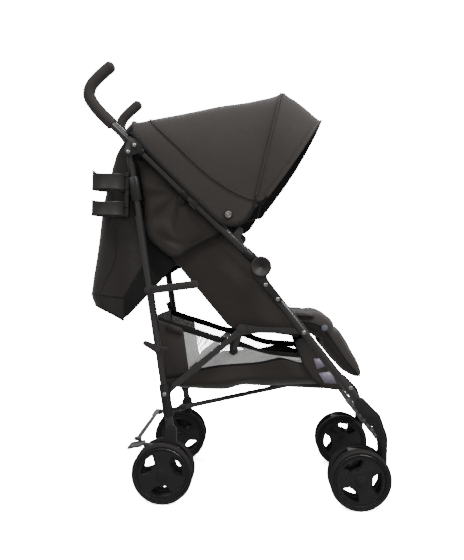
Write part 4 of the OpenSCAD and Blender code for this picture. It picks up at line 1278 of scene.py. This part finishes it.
def buildBasket():
    nets, solid = [], []
    n = 40
    for i in range(n + 1):
        s = i / n
        hem, wave, low = along(basket["hem"], s), along(basket["wave"], s), along(basket["floor"], s)
        half = basket["half"] - 2
        upper, lower = [], []
        for j in range(9):
            f = j / 8
            q = hem.lerp(wave, f)
            y = half + 3 * math.sin(math.pi * f)
            upper.append((q, y))
        for j in range(15):
            f = j / 14
            q = wave.lerp(low, min(1, f * 2.2)) if f < 0.4545 else low
            y = half if f < 0.3 else half * (1 - (f - 0.3) / 0.7)
            sagging = basket["sag"] * math.sin(math.pi / 2 * (1 - y / half)) if f > 0.3 else 0
            sagging += noise.noise(Vector((q.x / 40, y / 60, 4))) * 3
            lower.append((Vector((q.x, q.y + sagging * 0.4)), y))
        right = [near(q.x, q.y, -y) for q, y in upper]
        nets.append([right, [Vector((p.x, y / 1000, p.z)) for p, (q, y) in zip(right, upper)]])
        right = [near(q.x, q.y, -half) + Vector((0, (half - y) / 1000, 0)) for q, y in lower]
        left = [Vector((p.x, -p.y, p.z)) for p in right[:-1]][::-1]
        solid.append(right + left)
    sheets = []
    for k, tag in ((0, "right"), (1, "left")):
        rows = [m[k] for m in nets]
        sheets.append((gridSheet("basket_net_" + tag, rows, basketMesh, 0.0), rows))
    sheets.append((gridSheet("basket_floor", solid, seatCloth, basket["cloth"] / 1000), solid))
    parts = []
    for k in (0, 1):
        hemPath = [m[k][0] for m in nets]
        parts.append(sweep("basket_hem", hemPath, boxSection(0.016, 0.003, 0.001), bindingTapeAndPaintedShade, up=upwards))
        wavePath = [m[k][-1] for m in nets]
        parts.append(sweep("basket_wave", wavePath, boxSection(0.006, 0.002, 0.0008), bindingTapeAndPaintedShade, up=upwards))
        band = [nets[i][k] for i in range(0, 8)]
        band = [[p + Vector((0, math.copysign(0.001, p.y), 0)) for p in row] for row in band]
        parts.append(gridSheet("basket_rear_band", band, seatCloth, 0.0012))
        # front panel with its two clear windows
        sign = -1 if k == 0 else 1

        def flat(x, z, y=158.6):
            p = near(x, z, -y)
            return Vector((p.x, sign * y / 1000, p.z))

        panel = []
        for i in range(13):
            p, q = along(basket["panelIn"], i / 12), along(basket["panelOut"], i / 12)
            panel.append([flat(*p.lerp(q, f / 5), 158.6 + 2 * math.sin(math.pi * f / 5)) for f in range(6)])
        parts.append(gridSheet("basket_front_panel", panel, seatCloth, 0.0014, 1))
        parts.append(piping("basket_front_edge", [row[0] for row in panel], bindingTapeAndPaintedShade, 0.0016))
        for quad in basket["windows"]:
            pts = [flat(x, z, 161.2) for x, z in quad]
            parts.append(gridSheet("basket_window", [[pts[0], pts[1]], [pts[3], pts[2]]], windowVinyl, 0.0012, 0))
        tag = [flat(x, z, 161.5) for x, z in ((2, 433), (38, 421), (38, 405), (2, 417))]
        if k == 0:
            parts.append(gridSheet("basket_label", [[tag[0], tag[1]], [tag[3], tag[2]]], seatCloth, 0.0012, 0))
    for row in (0, -1):  # end walls between the two sides
        lows = [nets[row][0][j] for j in range(9)] + [solid[row][j] for j in (2, 4, 6)]
        grid = []
        for p in lows:
            bulge = 0.004 if row else -0.004
            grid.append([Vector((p.x + bulge * math.sin(math.pi * k / 12), p.y - 2 * p.y * k / 12, p.z)) for k in range(13)])
        parts.append(gridSheet("basket_end", grid, basketMesh if row else seatCloth, 0.0 if row else 0.0012))
        top = grid[0]
        parts.append(sweep("basket_end_hem", top, boxSection(0.014, 0.003, 0.001), bindingTapeAndPaintedShade, up=upwards))
    for side in (-1, 1):  # hanging straps to the frame
        tab = [(p.x, p.z) for p in (near(x, z, -162) for x, z in basket["tab"])]
        parts.append(plate("basket_tab", [roundedLoop(tab, 0.003)], side * 0.1612, side * 0.1632, 0.0008, plasticBlack))
        for (x0, z0), (x1, z1) in (((-27, 443), (-38, 470)), ((333, 360), (318, 398))):
            pts = curved([near(x0, z0, -158), near((x0 + x1) / 2, (z0 + z1) / 2, -160), near(x1, z1, -161)], 8)
            if side > 0:
                pts = [Vector((p.x, -p.y, p.z)) for p in pts]
            parts.append(strapOn(pts, 0.014, "basket_strap", up=Vector((1, 0, 0.2))))
    trim = joined("basket_trim", parts)
    hand(trim, "rear_leg_right", "mesh_cloth")
    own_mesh(trim)
    for cloth, rows in sheets:
        hand(cloth, "rear_leg_right", "mesh_cloth", *(["basket"] if cloth.name == "basket_floor" else []))
        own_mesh(cloth)
        declareSheet(rows)


buildBasket()
print("basket done")


def rivetsOn(name, body, spots, plane, side):
    places = [(at(x, side * plane, z), Vector((0, side, 0)), Vector((1, 0, 0))) for x, z in spots]
    obj = repeat(name, places, rivetShape, rivetSteel)
    hand(obj, body, "plastic_grey")


# set, body, centres in the side view, distance from the middle plane
rivets = {"frame": ("frame_", [(-100, 844), (-85.2, 860.2)], 219.6), "front": ("front_leg_", [(237.5, 532.3), (267.2, 498.4)], 217.2),
          "leg": ("front_leg_", [(332, 420), (446.8, 290.2)], 214.4), "rear": ("rear_leg_", [(0, 262)], 216.1)}
for side, tag in ((-1, "right"), (1, "left")):
    for key, (body, spots, plane) in rivets.items():
        rivetsOn("rivets_" + key + "_" + tag, body + tag, spots, plane, side)
print("rivets done")

# two deep rings on an upright plate clipped to the rear leg
cup = {"x": -147.7, "y": -202.0, "inner": 36.5, "wall": 4.6, "upper": (752, 790), "lower": (690, 724), "tip": 10.0}


def cupRing(name, z0, z1, tip):
    rows, n = [], 72
    r0, r1 = cup["inner"], cup["inner"] + cup["wall"]
    prof = [(r0, 0), (r0, 0.5), (r0, 1), (r0 + 1, 1.03), (r1 - 1, 1.03), (r1, 0.97),
            (r1 - 0.8, 0.9), (r1 - 0.8, 0.16), (r1, 0.1), (r1, 0.02), (r1 - 1, 0)]
    verts, faces = [], []
    for k in range(n):
        a = 2 * math.pi * k / n
        # the rim rises to a tip at the back and dips beside it
        lift = tip * max(0, math.cos(a - math.pi)) ** 6
        lift = lift - 5 * max(0, math.cos(a - math.pi * 0.75)) ** 8 - 3 * max(0, math.cos(a + math.pi * 0.5)) ** 4
        for r, h in prof:
            verts.append(at(cup["x"] + r * math.cos(a), cup["y"] + r * math.sin(a), z0 + (z1 - z0) * h + (lift if h > 0.5 else 0)))
    m = len(prof)
    for k in range(n):
        q = (k + 1) % n
        faces += [(k * m + j, q * m + j, q * m + (j + 1) % m, k * m + (j + 1) % m) for j in range(m)]
    obj = newPiece(name, verts, faces, plasticSoft)
    fixNormals(obj)
    return obj


def buildCup():
    parts = [cupRing("cup_upper", *cup["upper"], cup["tip"]), cupRing("cup_lower", *cup["lower"], 3)]
    back = cup["x"] + cup["inner"] + 2
    spine = [at(back + 6, cup["y"], 688), at(back + 6, cup["y"], 796)]
    parts.append(sweep("cup_plate", spine, boxSection(0.020, 0.011, 0.002), plasticBlack, up=sideways))
    for z in (690, 712, 756, 786):
        rib = [at(back + 5, cup["y"], z), at(back + 5, cup["y"], z + 4)]
        parts.append(sweep("cup_rib", rib, boxSection(0.026, 0.013, 0.002), plasticBlack, up=sideways))
    legDir = (Vector((19, 151.7)) - Vector((-100, 844))).normalized()
    clamp = []
    for t in (60, 62, 116, 118):
        q = Vector((-100, 844)) + legDir * t
        clamp.append(at(q.x, -200, q.y))
    turns = [(math.cos(2 * math.pi * k / 28), math.sin(2 * math.pi * k / 28)) for k in range(28)]
    oval = [(0.0142 * math.copysign(abs(c) ** 0.7, c), 0.0132 * math.copysign(abs(s) ** 0.7, s)) for c, s in turns]
    parts.append(sweep("cup_clamp", clamp, oval, plasticBlack, up=sideways, scales=[0.93, 1, 1, 0.93]))
    web = [at(back + 6, -200, 760), at(back + 24, -200, 762)]
    parts.append(sweep("cup_web", web, boxSection(0.014, 0.034, 0.002), plasticBlack, up=sideways))
    obj = joined("cup_holder_finished", parts)
    markSharp(obj, 35)
    hand(obj, "rear_leg_right", "plastic_black", "cup_holder")


buildCup()
print("cup holder done")

# hood buttons, clips and strap loops on the push tubes
fitting = {"button": (144, 216.2, 698), "ring": 0.0136, "slope": 42.4,  # millimetres, metres, degrees
           "head": [(0.0001, 0), (0.0083, 0), (0.0083, 0.0022), (0.0068, 0.0032),
                    (0.0056, 0.0026), (0.0034, 0.0022), (0.0022, 0.0031), (0.0001, 0.0034)],
           "clip": [(170, 672), (180, 665), (181, 655), (174, 645), (181, 634), (175, 628), (156, 652)]}
for side, tag in ((-1, "right"), (1, "left")):
    x, y, z = fitting["button"]
    centre = at(x, side * y, z)
    head = [(a, side * b) for a, b in fitting["head"]]
    button = lathe("hood_button_" + tag + "_head", head, centre, buttonSteel, 40)
    disc = [(a, side * b) for a, b in ((0.0001, -0.0006), (0.0102, -0.0006), (0.0102, 0.0006), (0.0001, 0.0006))]
    base = lathe("hood_button_base", disc, centre, plasticBlack, 40)
    rod = [(0.0001, 0), (0.005, 0), (0.005, -side * 0.012), (0.0001, -side * 0.012)]
    stem = lathe("hood_button_stem", rod, centre, plasticBlack, 24)
    hand(joined("hood_button_" + tag + "_finished", [button, base, stem]), "frame_" + tag, "plastic_grey", "hood_button_" + tag)
    extras = []
    slope = math.radians(fitting["slope"])
    pushDir = Vector((math.cos(slope), -math.sin(slope)))
    for name, t, flat, material, end in (("tube_clip", -250, 0.92, plasticBlack, 0.95), ("strap_loop", -218, 0.9, webStrap, 0.97)):
        q = Vector((224, 578)) + pushDir * (t - 10)
        r = q + pushDir * 20
        path = [at(q.x, side * 200, q.y), at(q.x + pushDir.x * 1.5, side * 200, q.y + pushDir.y * 1.5),
                at(r.x - pushDir.x * 1.5, side * 200, r.y - pushDir.y * 1.5), at(r.x, side * 200, r.y)]
        ring = [(a, b * flat) for a, b in circle(fitting["ring"], 24)]
        extras.append(sweep(name, path, ring, material, up=sideways, scales=[end, 1, 1, end]))
    extras.append(flatPart("hood_clip", fitting["clip"], side * 0.192, side * 0.208, 0.8, 1.0, plasticSoft))
    tabPath = [at(30, side * 189, 742), at(27, side * 188, 734), at(25, side * 186, 724)]
    extras.append(strapOn(tabPath, 0.016, "wing_tab", up=Vector((1, 0, 0.4))))
    hand(joined("tube_fittings_" + tag, extras), "frame_" + tag, "plastic_black")
print("small fittings done")

light = {"floor": 70.0, "room": 0.26, "backdrop": 18.0, "key": 21, "fill": 9, "top": 7, "back": 18, "front": 19, "strip": 30}
camera = {"place": (220.06, -1931.9, 565.0), "yaw": 2.118, "pitch": 0.77, "roll": 1.306, "lens": 46.06}


def buildCamera():
    data = bpy.data.cameras.new("camera")
    obj = bpy.data.objects.new("camera", data)
    scene.collection.objects.link(obj)
    data.lens, data.sensor_width, data.sensor_fit = camera["lens"], 36, "AUTO"
    y, p, r = (math.radians(camera[k]) for k in ("yaw", "pitch", "roll"))
    up = Vector((0, 0, 1))
    ahead, right = Vector((-math.sin(y), math.cos(y), 0)), Vector((math.cos(y), math.sin(y), 0))
    look = ahead * math.cos(p) - up * math.sin(p)
    top = up * math.cos(p) + ahead * math.sin(p)
    right, top = right * math.cos(r) + top * math.sin(r), top * math.cos(r) - right * math.sin(r)
    m = Matrix((right, top, -look)).transposed().to_4x4()
    m.translation = at(*camera["place"])
    obj.matrix_world = m
    data.clip_end = 60
    scene.camera = obj


def areaLight(name, place, target, size, power, length=None):
    data = bpy.data.lights.new(name, "AREA")
    data.shape, data.size, data.size_y, data.energy = "RECTANGLE", size[0], size[1], power
    obj = bpy.data.objects.new(name, data)
    scene.collection.objects.link(obj)
    obj.location = place
    away = (Vector(place) - Vector(target)).normalized()
    obj.rotation_euler = away.to_track_quat("Z", "Y").to_euler()
    obj.visible_glossy = name not in ("front", "fill")  # soft light that leaves no reflections
    if length:  # the light's x side laid along a given direction
        x = (Vector(length) - away * away.dot(Vector(length))).normalized()
        obj.rotation_euler = Matrix((x, away.cross(x), away)).transposed().to_euler()


def studio():
    m = Finish("studio floor", (0.86, 0.86, 0.86), 0.9, Specular_IOR_Level=0.0)
    shade = m.noise(m.place(), 3, 2)
    m.set("Base Color", m.scaled(m.mix(shade, (0.995, 0.995, 0.995), (1, 1, 1)), light["floor"]))
    floor = newPiece("studio_floor", [(-12, -12, 0), (12, -12, 0), (12, 12, 0), (-12, 12, 0)], [(0, 1, 2, 3)], m.mat)
    floor.visible_diffuse = floor.visible_glossy = False  # the floor is seen, and lights nothing
    world = bpy.data.worlds.new("studio")
    scene.world = world
    world.use_nodes = True
    tree = world.node_tree
    tree.nodes["Background"].inputs["Color"].default_value = (1, 1, 1, 1)
    seen, gain = tree.nodes.new("ShaderNodeLightPath"), tree.nodes.new("ShaderNodeMapRange")
    gain.inputs["To Min"].default_value, gain.inputs["To Max"].default_value = light["room"], light["backdrop"]
    tree.links.new(seen.outputs["Is Camera Ray"], gain.inputs["Value"])
    tree.links.new(gain.outputs[0], tree.nodes["Background"].inputs["Strength"])
    areaLight("key", (-1.3, -2.0, 2.5), (0, 0, 0.6), (1.2, 1.2), light["key"])
    areaLight("fill", (2.4, -1.6, 1.5), (0, 0, 0.5), (1.0, 2.0), light["fill"])
    areaLight("top", (0.2, -0.7, 2.7), (0, 0, 0.5), (2.2, 0.35), light["top"])
    areaLight("front", (0.5, -2.9, 0.7), (0, 0, 0.5), (2.0, 1.2), light["front"])
    areaLight("strip", (1.17, -1.01, 2.59), (-0.108, -0.2, 0.728), (1.7, 0.10), light["strip"], (0.7385, 0, -0.6743))
    areaLight("back", (-0.6, 2.2, 2.2), (0, 0, 0.6), (1.8, 0.8), light["back"])


buildCamera()
studio()
print("camera and light ready")
